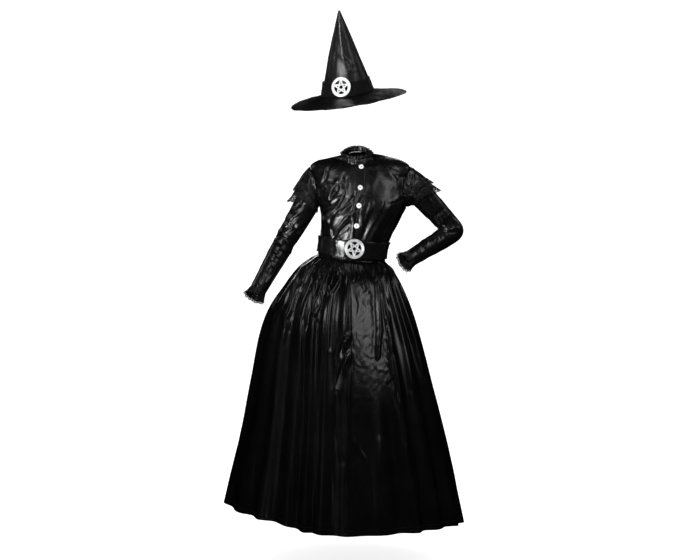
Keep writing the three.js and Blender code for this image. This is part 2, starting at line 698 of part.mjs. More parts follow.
function skirtPoint(fold, z) {
  const ring = SKIRT(z);
  const share = clamp((WAIST_Z - z) / (WAIST_Z - HEM_Z));
  const angle = ridgeAt(fold, Math.sqrt(share));
  const count = RIDGES.length;
  const i = Math.floor(fold);
  const t = fold - i;
  const size = mix(RIDGES[((i % count) + count) % count].size, RIDGES[(i + 1) % count].size, t);
  const wave = size * (2 * Math.abs(Math.cos(Math.PI * t)) ** 1.3 - 1);
  const small = Math.cos(2 * Math.PI * (2 * fold + 0.12 * Math.sin(fold * 2.4)));
  const out = ring.fold * wave + ring.gather * small;
  const side = Math.sin(angle * DEG);
  const ahead = Math.cos(angle * DEG);
  const depth = ahead > 0 ? ring.front : ring.back;
  const wrapped = angle < -90 ? angle + 360 : angle > 270 ? angle - 360 : angle;
  const hem = (hemHeight(wrapped).z - HEM_Z) * share ** 1.5;
  const fade = ease((z + 450) / 110);
  const dip = ahead > 0 ? -WAIST_DIP * ahead ** 1.5 : 4 * (-ahead) ** 1.5;
  return vec(ring.cx + (ring.half + out) * side, -(depth + out) * ahead, z + hem + (dip - WAIST_ROLL * side) * fade);
}

const SKIRT_TOP = [WAIST_Z - 1.6 * SEAM_GAP, -349];
const SKIRT_GATHERED = [-359, -387];
const SKIRT_LOW = [-428, -510, -620, -760, -920, -1080, HEM_Z];
const GATHER_COLUMNS = 8; // columns for each ridge where the small gathers show
const FOLD_COLUMNS = 4;

// A skirt panel from one ridge count to another.
function skirtPanel(from, to) {
  const rows = [...SKIRT_TOP, ...SKIRT_GATHERED, ...SKIRT_LOW].map((z) => {
    const gap = SEAM_GAP / 2 / (SKIRT(z).half * 10 * DEG);
    const each = SKIRT_GATHERED.includes(z) ? GATHER_COLUMNS : FOLD_COLUMNS;
    const columns = Math.round((to - from) * each);
    return steps(from + gap, to - gap, columns).map((fold) => sheetPoint(skirtPoint, fold, z));
  });
  rows.reverse();
  return wall(rows, CLOTH);
}

// Belt

const BELT_LOW = -BELT_BELOW_WAIST;
const BELT_TOP = BELT_LOW + BELT_HEIGHT;
const BELT_BUCKLE_ANGLE = -0.5;
const BELT_BUCKLE_S = 30;
const beltRows = steps(BELT_LOW, BELT_TOP, 2);

function belt() {
  const rows = patch((angle, s) => torsoPoint(angle, s, false), steps(-90, 270, 36), beltRows);
  return wall(rows, BELT_THICK, { closed: true, lift: BELT_CLEAR + BELT_THICK / 2 });
}

// The stitched tab beside the buckle lies on the belt.
const TAB = { from: -27, to: -9, low: 3, high: 3 };
const TAB_THICK = 1.6;
function beltTab() {
  const vs = [BELT_LOW + TAB.low, (BELT_LOW + BELT_TOP) / 2, BELT_TOP - TAB.high];
  const rows = patch((angle, s) => torsoPoint(angle, s, false), steps(TAB.from, TAB.to, 4), vs);
  return wall(rows, TAB_THICK, { lift: BELT_CLEAR + BELT_THICK + LAYER_GAP * 1.4 + TAB_THICK / 2 });
}

// Buckles: a flat ring with a five-pointed star of interlaced bars inside it

// A closed geometry as a solid for joining.
function solid(geometry) {
  const bare = new THREE.BufferGeometry().setAttribute("position", geometry.getAttribute("position"));
  if (geometry.index) bare.setIndex(geometry.index);
  const merged = mergeVertices(bare, 1e-3);
  return new wasm.Manifold(
    new wasm.Mesh({
      numProp: 3,
      vertProperties: merged.attributes.position.array,
      triVerts: new Uint32Array(merged.index.array),
    }),
  );
}

function geometryOf(made) {
  const mesh = made.getMesh();
  const positions = [];
  for (let i = 0; i < mesh.numVert; i += 1)
    positions.push(...mesh.vertProperties.subarray(i * mesh.numProp, i * mesh.numProp + 3));
  const geometry = new THREE.BufferGeometry();
  geometry.setAttribute("position", new THREE.Float32BufferAttribute(positions, 3));
  geometry.setIndex([...mesh.triVerts]);
  return geometry;
}

const BUCKLE_RIM = 10.5;
const BUCKLE_THICK = 3;
const STAR_BAR = 5;
const STAR_THICK = 2;

// The buckle lies in its own XY plane, with its back at z = 0. firstPoint turns the star, in degrees.
function buckle(firstPoint) {
  const outer = BUCKLE_DIAMETER / 2;
  const inner = outer - BUCKLE_RIM;
  const rim = new THREE.LatheGeometry(
    [
      [inner, 0],
      [outer - 0.8, 0],
      [outer, 1.2],
      [outer - 2.6, BUCKLE_THICK],
      [inner + 2.2, BUCKLE_THICK],
      [inner, 1.4],
      [inner, 0],
    ].map(([x, y]) => new THREE.Vector2(x, y)),
    26,
  ).rotateX(Math.PI / 2);
  let made = solid(rim);
  const reach = inner + BUCKLE_RIM / 2;
  const point = (i) => (firstPoint + 72 * i) * DEG;
  for (let i = 0; i < 5; i += 1) {
    const a = vec(Math.cos(point(i)) * reach, Math.sin(point(i)) * reach, 0);
    const b = vec(Math.cos(point(i + 2)) * reach, Math.sin(point(i + 2)) * reach, 0);
    const bar = new THREE.BoxGeometry(a.distanceTo(b), STAR_BAR, STAR_THICK);
    bar.rotateZ(Math.atan2(b.y - a.y, b.x - a.x));
    bar.translate((a.x + b.x) / 2, (a.y + b.y) / 2, STAR_THICK / 2 + 0.3);
    made = made.add(solid(bar));
  }
  return geometryOf(made);
}

// Hat: built upright on its own base, then tilted as it is worn

const HAT_TILT = { x: -38, y: -22, z: 222, pitch: 16.5, roll: -6.8 };
const HAT_WALL = 2.6;
const BRIM_DROP = 20;
const TIP_BEND = 3; // the crown's tip bends to the wearer's left
const HEAD_OPENING = 87; // the brim's inner radius
const BAND_HEIGHT = 47;
const BAND_THICK = 2;
const HAT_SIDES = 26;
const HAT_BUCKLE_ANGLE = -13;
const HAT_BUCKLE_Z = 35;

const crownRadius = track(
  [
    { z: 0, r: 90 },
    { z: 26, r: 83 },
    { z: 52, r: 76.5 },
    { z: 100, r: 62 },
    { z: 160, r: 44 },
    { z: 230, r: 20.5 },
    { z: HAT_HEIGHT - 5, r: 3.4 },
  ],
  "z",
);

function crownPoint(angle, z) {
  const r = crownRadius(z).r;
  const dent = 1.6 * bell(z - 120, 60) * Math.cos((angle - 40) * 3 * DEG);
  const bend = TIP_BEND * (z / HAT_HEIGHT) ** 2;
  return vec(bend + (r + dent) * Math.sin(angle * DEG), -(r * 1.04 + dent) * Math.cos(angle * DEG), z);
}

// The crown is a hollow cone with a closed tip: an outer cone less the room inside it.
function hatCrown() {
  const sides = HAT_SIDES;
  const outline = (offset, top, tip) => {
    const zs = [2.2 - (offset < 0 ? 4 : 0), 26, 52, 100, 160, 230, top];
    const positions = [];
    const index = [];
    for (const z of zs)
      for (let i = 0; i < sides; i += 1) {
        const p = sheetPoint(crownPoint, (360 * i) / sides, z);
        const q = p.place.addScaledVector(p.normal, offset);
        positions.push(q.x, q.y, z);
      }
    positions.push(0, 0, zs[0], TIP_BEND, 0, tip);
    const base = zs.length * sides;
    for (let i = 0; i < sides; i += 1) {
      const j = (i + 1) % sides;
      index.push(base, j, i);
      for (let r = 0; r < zs.length - 1; r += 1) {
        const a = r * sides;
        index.push(a + i, a + j, a + sides + j, a + i, a + sides + j, a + sides + i);
      }
      const last = (zs.length - 1) * sides;
      index.push(last + i, last + j, base + 1);
    }
    const geometry = new THREE.BufferGeometry();
    geometry.setAttribute("position", new THREE.Float32BufferAttribute(positions, 3));
    geometry.setIndex(index);
    return solid(geometry);
  };
  const outside = outline(HAT_WALL / 2, HAT_HEIGHT - 5, HAT_HEIGHT);
  const room = outline(-HAT_WALL / 2, HAT_HEIGHT - 34, HAT_HEIGHT - 30);
  return geometryOf(outside.subtract(room));
}

// How far the brim's edge is bent up round the hat.
const brimSway = track(
  [
    { angle: 0, up: 3 },
    { angle: 45, up: 8 },
    { angle: 90, up: 3 },
    { angle: 135, up: 0 },
    { angle: 180, up: -3 },
    { angle: 225, up: -1 },
    { angle: 270, up: -5 },
    { angle: 315, up: -1 },
    { angle: 360, up: 3 },
  ],
  "angle",
);
function brimPoint(angle, r) {
  const share = Math.max(0, (r - HEAD_OPENING) / (BRIM_DIAMETER / 2 - HEAD_OPENING));
  const z = -BRIM_DROP * share ** 1.15 + brimSway((angle + 360) % 360).up * share;
  return vec(r * Math.sin(angle * DEG), -r * 1.02 * Math.cos(angle * DEG), z);
}

function hatBrim() {
  const rs = [HEAD_OPENING, 120, 160, BRIM_DIAMETER / 2];
  const rows = patch(brimPoint, steps(0, 360, 32), rs);
  return wall(rows, HAT_WALL, { closed: true, outward: -1 });
}

// The band stands further off the crown on the wearer's right.
function bandPoint(angle, z) {
  const on = sheetPoint(crownPoint, angle, z);
  const loose = 0.4 + 1.6 * (1 - Math.sin(angle * DEG));
  return on.place.addScaledVector(on.normal, HAT_WALL / 2 + BAND_THICK / 2 + loose);
}

function hatBand() {
  const rows = patch(bandPoint, steps(0, 360, HAT_SIDES), [3.6, 26, BAND_HEIGHT + 2]);
  return wall(rows, BAND_THICK, { closed: true });
}

// Materials and assembly

const material = (color, roughness, metalness = 0) =>
  new THREE.MeshStandardMaterial({ color, roughness, metalness });
const finish = {
  bodice: material(0x131315, 0.32),
  skirt: material(0x0c0c0e, 0.28),
  lace: material(0x0b0b0c, 0.85),
  belt: material(0x17171a, 0.25),
  silver: material(0xc9cacc, 0.3, 1),
  button: material(0xf2f1ee, 0.3),
  hat: material(0x161618, 0.45),
  band: material(0x08080a, 0.7),
};

const costume = new THREE.Group();
function add(name, geometry, look, parent = costume) {
  const mesh = new THREE.Mesh(geometry, finish[look]);
  mesh.name = name;
  parent.add(mesh);
  return mesh;
}

add("bodice_front_right", frontPanel(-1, 6), "bodice");
add("bodice_front_left", frontPanel(1, 6), "bodice");
add("bodice_back", backPanel(12), "bodice");
add("placket", placket(), "bodice");
BUTTON_S.forEach((s, i) => {
  const seat = onTorso(BUTTON_TURN, s);
  const made = add(`button_${i + 1}`, button(), "button");
  made.position.copy(seat.place).addScaledVector(seat.normal, CLOTH * 1.5 + LAYER_GAP * 2);
  made.quaternion.setFromUnitVectors(vec(0, 1, 0), seat.normal);
});
add("collar_band", collarBand(), "bodice");
add("collar_lace", collarLace(), "lace");

for (const name of ["right", "left"]) {
  add(`sleeve_${name}`, sleeve(name), "bodice");
  add(`cap_sleeve_${name}`, capSleeve(name), "bodice");
  add(`cap_lace_upper_${name}`, upperLace(name), "lace");
  add(`cap_lace_lower_${name}`, lowerLace(name), "lace");
  add(`cuff_lace_${name}`, cuffLace(name), "lace");
}

add("skirt_front_right", skirtPanel(0, FRONT_SEAM), "skirt");
add("skirt_front_left", skirtPanel(FRONT_SEAM, LEFT_SIDE_SEAM), "skirt");
add("skirt_back", skirtPanel(LEFT_SIDE_SEAM, RIDGES.length), "skirt");

// Sets a buckle on a sheet point, with its own Y axis upward on the sheet.
function seatBuckle(mesh, seat, lift) {
  const across = vec(0, 0, 1).cross(seat.normal).normalize();
  const basis = new THREE.Matrix4().makeBasis(across, seat.normal.clone().cross(across), seat.normal);
  mesh.quaternion.setFromRotationMatrix(basis);
  mesh.position.copy(seat.place).addScaledVector(seat.normal, lift);
}

add("belt", belt(), "belt");
add("belt_tab", beltTab(), "belt");
const beltSeat = sheetPoint((a, v) => torsoPoint(a, v, false), BELT_BUCKLE_ANGLE, BELT_BUCKLE_S);
seatBuckle(add("belt_buckle", buckle(-93), "silver"), beltSeat, BELT_CLEAR + BELT_THICK + 2.3);

const hat = new THREE.Group();
hat.position.set(HAT_TILT.x, HAT_TILT.y, HAT_TILT.z);
hat.rotation.set(HAT_TILT.pitch * DEG, HAT_TILT.roll * DEG, 0);
costume.add(hat);
add("hat_crown", hatCrown(), "hat", hat);
add("hat_brim", hatBrim(), "hat", hat);
add("hat_band", hatBand(), "band", hat);
const bandSeat = sheetPoint(crownPoint, HAT_BUCKLE_ANGLE, HAT_BUCKLE_Z);
seatBuckle(add("hat_buckle", buckle(90), "silver", hat), bandSeat, HAT_WALL / 2 + BAND_THICK + 3.4);

export default costume;
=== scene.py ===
"""Looks of the witch costume: cloth shells with creases, lace nets, buckles, buttons, light and camera.

Lengths are in millimetres until a mesh is made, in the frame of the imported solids: +Z up, the front of
the dress along -Y, the wearer's right side at -X. Each shell lies on the form of the solid it replaces.
Angles are in degrees round the dress, from its front to the wearer's left.
"""
import math

import bpy
import numpy as np
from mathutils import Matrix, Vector


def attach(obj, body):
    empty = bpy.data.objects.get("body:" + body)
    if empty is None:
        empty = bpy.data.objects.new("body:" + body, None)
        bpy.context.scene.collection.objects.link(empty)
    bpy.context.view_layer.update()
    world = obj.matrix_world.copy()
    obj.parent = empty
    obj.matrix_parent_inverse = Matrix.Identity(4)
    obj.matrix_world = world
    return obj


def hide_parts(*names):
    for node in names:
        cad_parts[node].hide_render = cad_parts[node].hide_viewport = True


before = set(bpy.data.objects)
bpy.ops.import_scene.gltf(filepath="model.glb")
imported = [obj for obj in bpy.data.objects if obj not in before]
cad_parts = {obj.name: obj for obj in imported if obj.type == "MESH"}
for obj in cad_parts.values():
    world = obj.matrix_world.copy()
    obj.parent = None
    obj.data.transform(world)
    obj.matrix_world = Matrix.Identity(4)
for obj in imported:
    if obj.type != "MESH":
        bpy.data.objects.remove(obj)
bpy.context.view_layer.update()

mm = 0.001

# Sizes shared with the solids
CLOTH = 1.6
LACE = 1.2
LAYER_GAP = 0.35
LAYER = CLOTH + LAYER_GAP
LACE_LAYER = (CLOTH + LACE) / 2 + LAYER_GAP
SEAM = 0.18  # from a sewn edge to the seam's middle
NECK_SEAM = 0.9  # from a panel's top edge to the collar's line
WAIST_Z = -336
HEM_Z = -1237
WAIST_DIP = 14
WAIST_ROLL = 14
BELT_CLEAR = 3.8
BELT_THICK = 3
BELT_LOW, BELT_TOP = -2, 54
PLACKET_WIDTH = 30
PLACKET_END = 3.6
BUTTON_RADIUS = 8.75
BUTTON_S = (104, 174, 243, 344)
BUTTON_TURN = 1.5
BUCKLE_RADIUS = 34
BUCKLE_RIM = 10.5
STAR_BAR = 5

# Sizes of what shows
SKIN = 1.2  # thickness of the cloth
SKIRT_SEAM = 0.02  # half the gap of a sewn seam that shows no light
NET_CELL = 3.3
NET_THREAD = 1.0

# The photograph's camera: one of its pixels is 3.5 mm on the plane y = 0
EYE = np.array([-31.5, -4300.0, -427.0])
PIXEL = 3.5
LENS = 63.2
FRAME_CENTRE = (350, 280)


# Small maths


def mix(a, b, t):
    return a + (b - a) * t


def ease(t):
    """A soft step from 0 at 0 to 1 at 1."""
    t = np.clip(t, 0, 1)
    return t * t * (3 - 2 * t)


def bell(d, width):
    """A smooth hump, 1 high at 0."""
    return np.exp(-((d / width) ** 2))


def sind(degrees):
    return np.sin(np.radians(degrees))


def cosd(degrees):
    return np.cos(np.radians(degrees))


def arrays(*values):
    """Arrays of one shape."""
    return np.broadcast_arrays(*(np.asarray(value, float) for value in values))


def unit(v):
    return v / np.maximum(np.linalg.norm(v, axis=-1, keepdims=True), 1e-12)


def track(columns, rows):
    """A smooth curve through every column of a table, read by its first column."""
    table = np.array(rows, float)
    at = table[:, 0]
    sign = 1 if at[-1] > at[0] else -1
    last = len(at) - 1
    slope = np.array(
        [
            (table[min(i + 1, last)] - table[max(i - 1, 0)]) / (at[min(i + 1, last)] - at[max(i - 1, 0)])
            for i in range(last + 1)
        ]
    )

    def read(value):
        value = np.asarray(value, float)
        i = np.clip(np.searchsorted(sign * at, sign * value) - 1, 0, last - 1)
        span = at[i + 1] - at[i]
        t = np.clip((value - at[i]) / span, 0, 1)
        t2, t3 = t * t, t * t * t
        return {
            name: (2 * t3 - 3 * t2 + 1) * table[i, k]
            + (t3 - 2 * t2 + t) * slope[i, k] * span
            + (3 * t2 - 2 * t3) * table[i + 1, k]
            + (t3 - t2) * slope[i + 1, k] * span
            for k, name in enumerate(columns)
        }

    return read


# The dress form

TORSO_COLUMNS = ("z", "cx", "half", "front", "back", "drop", "rise", "roll", "turn")
TORSO = [
    (WAIST_Z, -26, 117, 90, 80, 14, 4, 14, 3),
    (-300, -20, 118, 93, 80, 13, 3, 13, 2),
    (-265, -11, 124, 100, 83, 11, 2, 9, -2),
    (-234, -2, 131, 108, 88, 9, 1, 6, -4),
    (-200, 7, 141, 113, 95, 8, 0, 3, -6),
    (-171, 13, 151, 112, 100, 8, 0, 1, -6),
    (-135, 10, 159, 106, 104, 10, 2, 0, -4),
    (-95, 6, 167, 96, 104, 14, 6, 0, -2),
    (-60, 4, 172, 84, 98, 20, 12, 0, -1),
    (-28, 3, 173, 72, 88, 26, 22, 0, 0),
    (-8, 2, 146, 64, 76, 30, 20, -1, 0),
    (-1, 0, 112, 60, 66, 33, 23, -3, 0),
    (3, -3, 80, 56, 57, 34, 22, -3, 0),
    (-4, -8, 53, 52, 50, 26, 30, -1, 0),
]
TORSO_S = [0.0]
for low, high in zip(TORSO, TORSO[1:]):
    TORSO_S.append(TORSO_S[-1] + math.hypot(high[0] - low[0], high[2] - low[2]))
torso_ring = track(("s",) + TORSO_COLUMNS, [(s,) + row for s, row in zip(TORSO_S, TORSO)])
ARMPIT_S, SHOULDER_S, NECK_S = TORSO_S[5], TORSO_S[9], TORSO_S[-1]
POWER = 0.93  # under 1 makes a ring a little squarer than an ellipse
FORM_RADIUS = 110  # turns an angle on the form into a length
CUPS = ((-37, 128, 22, 52, 7), (34, 128, 24, 56, 3))  # angle, s, wide, tall, out
# The broad folds that the solids have: angle, s, angle2, s2, width, depth
BROAD_FOLDS = [
    (-8, 150, -46, 52, 18, 4.5),
    (-14, 118, -30, 50, 15, -3.6),
    (-30, 170, -56, 118, 17, 3.6),
    (-48, 200, -58, 150, 16, -3.8),
    (-62, 112, -50, 48, 15, -3),
    (22, 148, 8, 50, 16, -3.2),
    (38, 132, 22, 48, 16, 3.2),
    (56, 138, 38, 46, 16, -3.2),
    (52, 224, 66, 168, 18, 4),
    (72, 120, 58, 52, 16, 3),
    (132, 120, 158, 46, 18, -3.4),
    (176, 100, 170, 44, 18, 3),
    (222, 120, 204, 46, 18, -3.4),
    (118, 230, 140, 176, 18, -3.2),
    (240, 230, 218, 176, 18, -3.2),
]


def fold_lift(fold, angle, s):
    """How far one broad fold lifts the form."""
    a1, s1, a2, s2, width, depth = fold
    per = math.radians(1) * FORM_RADIUS
    dx, ds = (a2 - a1) * per, s2 - s1
    px, ps = (angle - a1) * per, s - s1
    length = math.hypot(dx, ds)
    along = (px * dx + ps * ds) / length**2
    across = (px * ds - ps * dx) / length
    return depth * bell(across, width) * ease(along * 3 + 0.5) * ease((1 - along) * 3 + 0.5)


def torso(angle, s, shaped=True):
    """The dress form at an angle and a length s up from the waist; unshaped, without bust and folds."""
    angle, s = arrays(angle, s)
    ring = torso_ring(np.maximum(s, 0))
    below = np.minimum(s, 0)
    turned = np.radians(angle + ring["turn"] * np.cos(np.radians(angle) / 2) ** 2)
    side, ahead = np.sin(turned), np.cos(turned)
    sx = np.sign(side) * np.abs(side) ** POWER
    sy = np.sign(ahead) * np.abs(ahead) ** POWER
    front = ahead > 0
    depth = np.where(front, ring["front"], ring["back"])
    dip = np.where(
        front,
        -ring["drop"] * np.maximum(ahead, 0) ** 1.5,
        ring["rise"] * np.maximum(-ahead, 0) ** 1.5,
    )
    out = np.zeros_like(angle)
    if shaped:
        for a, at, wide, tall, far in CUPS:
            out = out + far * bell(angle - a, wide) * bell(s - at, tall)
        wrapped = np.where(angle < -90, angle + 360, angle)
        for fold in BROAD_FOLDS:
            out = out + fold_lift(fold, wrapped, s)
    return np.stack(
        [
            ring["cx"] + (ring["half"] + out) * sx,
            -(depth + out) * sy,
            ring["z"] + below + dip - ring["roll"] * side,
        ],
        -1,
    )


ARMHOLE_HALF = 27  # half the armhole's width on the form, in degrees


def armhole_s(around):
    return mix(ARMPIT_S, SHOULDER_S, (1 - cosd(around)) / 2)


def armhole(side, around):
    return torso(side * (90 - ARMHOLE_HALF * sind(around)), armhole_s(around))


# Collar form

COLLAR_HEIGHT = 24
COLLAR_SIDE = 0.74  # height of the collar's sides and back as a share of its front
COLLAR_LIFT = 1.8  # from the neck seam to the collar's lower edge
COLLAR_TAPER = 3
COLLAR_LACE_HEIGHT = 13
COLLAR_LACE_WAVES = 16
COLLAR_CX, COLLAR_HALF = TORSO[-1][1:3]
LACE_ROOT = 5  # from the sewn edge of collar and cuff lace to the edge of the cloth
LACE_SWAY = 3.6  # how far the waves of that lace stand to each side


def collar(angle, v):
    seam = torso(angle, NECK_S, False)
    v = np.asarray(v, float)
    lean = 1 - (COLLAR_TAPER / COLLAR_HALF) * (v / COLLAR_HEIGHT)
    up = mix(COLLAR_SIDE, 1, np.maximum(0, cosd(angle))) * v
    return np.stack(
        [mix(COLLAR_CX, seam[..., 0], lean), seam[..., 1] * lean, seam[..., 2] + up], -1
    )


def ruffle(turns, waves):
    """Uneven waves of a gathered edge, from -1 to 1."""
    return np.cos(turns * waves * 2 * np.pi + 1.3 * np.sin(turns * 6 * np.pi))


def collar_ruffle(angle, t):
    root = collar(angle, COLLAR_HEIGHT - LACE_ROOT + COLLAR_LACE_HEIGHT * t)
    out = LAYER + 0.4 + 6 * t + LACE_SWAY * t * ruffle(angle / 360, COLLAR_LACE_WAVES)
    away = root - np.array([COLLAR_CX, 0, 0])
    away[..., 2] = 0
    return root + unit(away) * np.asarray(out)[..., None]


# Arm forms

ARMS = {
    "right": dict(side=-1, cap=76, flare=12, gap=1.3, shoulder=(-146, 0, -98), elbow=(-263, 20, -297),
                  wrist=(-352, -70, -469), bend=80, point=0.1),
    "left": dict(side=1, cap=90, flare=9, gap=0.8, shoulder=(166, 0, -75), elbow=(341, 60, -253),
                 wrist=(172, -30, -356), bend=42, point=0.6),
}
sleeve_radius = track(
    ("at", "r"), [(0, 46), (0.2, 43), (0.36, 40.5), (0.5, 37), (0.62, 36.5), (0.8, 32), (1, 28)]
)
BLEND = 84  # how far down the arm the armhole's shape has become round
ROOT_INSET = 2.6  # the sleeve's first edge lies this far inside the armhole
ROOT_INSET_LOW = 4.8  # and this far under the arm
CAP_IN = 60  # length of a puffed cap under the arm
CAP_FRONT_CUT = 20  # how far its hem is cut away in front
CAP_BACK_CUT = 8
CAP_WAVES = 7
LOWER_WAVES = 14
LOWER_ROOT = 6  # from the cap's hem up to the lower lace's sewn edge
LOWER_LENGTH = 30
UPPER_WAVES = 9
UPPER_FROM, UPPER_TO = 66, 290  # the upper lace's ends, round the arm
UPPER_WIDTH = 24
UPPER_ABOVE_HEM = 11
CUFF_WAVES = 10
CUFF_RADIUS = 28
CUFF_LACE_LENGTH = 29
SOLID_CREASES = {  # at, around, slant, width, depth
    "right": [(0.36, 120, 0.03, 8, -2.6), (0.455, 150, 0.035, 7, 3.2), (0.5, 60, 0.03, 8, -2.6),
              (0.565, 30, 0.03, 8, 2.2)],
    "left": [(0.36, 60, 0.03, 8, -2.4), (0.43, 60, 0.03, 7, 2.4), (0.7, 60, 0.04, 9, -2.2),
             (0.8, 60, 0.04, 9, 2)],
}


def arm_line(arm):
    """An arm's two straights and the bend between them."""
    p = {key: np.array(arm[key], float) for key in ("shoulder", "elbow", "wrist")}
    upper, lower = p["elbow"] - p["shoulder"], p["wrist"] - p["elbow"]
    upper_dir, lower_dir = unit(upper), unit(lower)
    turn = math.acos(float(upper_dir @ lower_dir))
    cut = arm["bend"] * math.tan(turn / 2)
    axis = unit(np.cross(upper_dir, lower_dir))
    inward = np.cross(axis, upper_dir)
    start = p["elbow"] - upper_dir * cut
    centre = start + inward * arm["bend"]
    straight = np.linalg.norm(upper) - cut
    arc = arm["bend"] * turn
    fore = np.array([0.0, -1, 0])
    fore = unit(fore - upper_dir * (fore @ upper_dir))
    top = unit(np.cross(fore, upper_dir) * arm["side"])
    return dict(arm, **p, upper_dir=upper_dir, turn=turn, axis=axis, inward=inward, centre=centre,
                straight=straight, arc=arc, length=straight + arc + np.linalg.norm(lower) - cut,
                top=top, fore=fore)


LINES = {name: arm_line(arm) for name, arm in ARMS.items()}


def spun(v, axis, angle):
    """A direction turned about an axis by each of several angles."""
    c, s = np.cos(angle)[..., None], np.sin(angle)[..., None]
    return v * c + np.cross(axis, v) * s + axis * (axis @ v) * (1 - c)


def arm_point(arm, at, around, radius):
    """A point at a length down the arm, an angle round it and a distance from its line."""
    at, around, radius = arrays(at, around, radius)
    angle = arm["turn"] * np.clip((at - arm["straight"]) / arm["arc"], 0, 1)
    direction = spun(arm["upper_dir"], arm["axis"], angle)
    top, fore, inward = (spun(arm[k], arm["axis"], angle) for k in ("top", "fore", "inward"))
    place = np.where(
        (at < arm["straight"])[..., None],
        arm["shoulder"] + arm["upper_dir"] * at[..., None],
        arm["centre"]
        - inward * arm["bend"]
        + direction * np.maximum(0, at - arm["straight"] - arm["arc"])[..., None],
    )
    turn = np.radians(around)
    out = -top * np.cos(turn)[..., None] + fore * np.sin(turn)[..., None]
    bump = np.sin(np.pi * angle / arm["turn"]) ** 3
    elbow = np.maximum(0, -(out * inward).sum(-1)) ** 2 * arm["point"] * bump
    return place + out * (radius * (1 + elbow))[..., None]


def outer_share(around):
    """0 under the arm and 1 on top of it."""
    return (1 - cosd(around)) / 2


def from_armhole(arm, around, t, at, radius):
    """The top of a sleeve, from the armhole at t = 0 to a round arm at t = 1."""
    side = arm["side"]
    edge = armhole(side, around)
    hub = arm["shoulder"].copy()
    hub[2] = (armhole(side, 0)[..., 2] + armhole(side, 180)[..., 2]) / 2
    to_hub = hub - edge
    to_hub[..., 0] = 0
    to_hub = unit(to_hub)
    outer = outer_share(around)[..., None]
    leave = unit(arm["upper_dir"] + np.array([side, 0, 0.0]) * mix(0.9, 0.35, outer))
    start = edge + to_hub * mix(ROOT_INSET_LOW, ROOT_INSET, outer) + leave * arm["gap"]
    end = arm_point(arm, at, around, radius)
    reach = np.linalg.norm(end - start, axis=-1, keepdims=True) * 0.36
    a, b = start + leave * reach, end - arm["upper_dir"] * reach
    t = np.asarray(t)[..., None]
    k = 1 - t
    return start * k**3 + a * 3 * k * k * t + b * 3 * k * t * t + end * t**3


def sleeve(name, around, at):
    arm = LINES[name]
    around, at = arrays(around, at)
    share = np.clip(at / arm["length"], 0, 1)
    radius = sleeve_radius(share)["r"]
    for middle, where, slant, width, depth in SOLID_CREASES[name]:
        away = cosd(around - where)
        centre = middle + slant * (1 - away) * 0.5
        radius = radius + depth * bell((share - centre) * arm["length"], width) * (0.35 + 0.65 * away)
    low = from_armhole(arm, around, np.clip(at / BLEND, 0, 1), BLEND,
                       sleeve_radius(BLEND / arm["length"])["r"])
    return np.where((at < BLEND)[..., None], low, arm_point(arm, at, around, radius))


def sheet_normal(surface, u, v):
    """Which way a surface of two numbers faces."""
    step = 0.02
    along = surface(u + step, v) - surface(u - step, v)
    up = surface(u, v + step) - surface(u, v - step)
    return unit(np.cross(along, up))


def on_sleeve(name, around, at, lift):
    """A point lifted off a sleeve."""
    around, at, lift = arrays(around, at, lift)
    at = np.maximum(at, 0.03)
    normal = sheet_normal(lambda a, v: sleeve(name, a, v), around, at)
    return sleeve(name, around, at) - normal * (LINES[name]["side"] * lift)[..., None]


def cap_hem(name, around):
    turn = sind(around)
    cut = np.where(turn > 0, CAP_FRONT_CUT, CAP_BACK_CUT)
    return mix(CAP_IN, LINES[name]["cap"], outer_share(around)) - cut * turn**2


def cap_lift(name, around, t):
    outer = outer_share(around)
    wave = 1.6 * t * outer * cosd(around * CAP_WAVES)
    flare = mix(0.3, LINES[name]["flare"], outer) * ease(np.clip(t, 0, 1) * 1.1)
    return LAYER + flare + wave + 2 * outer * np.sin(np.pi * np.clip(t, 0, 1))


def cap(name, around, t):
    return on_sleeve(name, around, t * cap_hem(name, around), cap_lift(name, around, t))


def lower_lace(name, around, t):
    outer = outer_share(around)
    wave = mix(0.5, 4, outer) * t * ruffle(around / 360, LOWER_WAVES)
    at = cap_hem(name, around) - LOWER_ROOT + LOWER_LENGTH * t * mix(0.8, 1, outer)
    root = cap_lift(name, around, 1) + LACE_LAYER + 0.15 + 0.8 * outer
    return on_sleeve(name, around, at, root + mix(0, 5, outer) * t + wave)


def upper_lace(name, around, t):
    share = np.clip((around - UPPER_FROM) / (UPPER_TO - UPPER_FROM), 0.01, 0.99)
    taper = np.sin(np.pi * share) ** 0.5
    at = cap_hem(name, around) - UPPER_ABOVE_HEM - UPPER_WIDTH * (1 - t) * mix(0.35, 1, taper)
    out = LACE_LAYER + 0.1 + t * (4 * taper + 0.3) + 2.6 * t * taper * ruffle(share, UPPER_WAVES)
    return on_sleeve(name, around, at, cap_lift(name, around, at / cap_hem(name, around)) + out)


def cuff_lace(name, around, t):
    arm = LINES[name]
    wave = LACE_SWAY * t * ruffle(around / 360, CUFF_WAVES)
    radius = CUFF_RADIUS + CLOTH + LAYER_GAP + 0.5 + 7 * t * t + wave
    return arm_point(arm, arm["length"] - LACE_ROOT + CUFF_LACE_LENGTH * t, around, radius)


# Skirt form

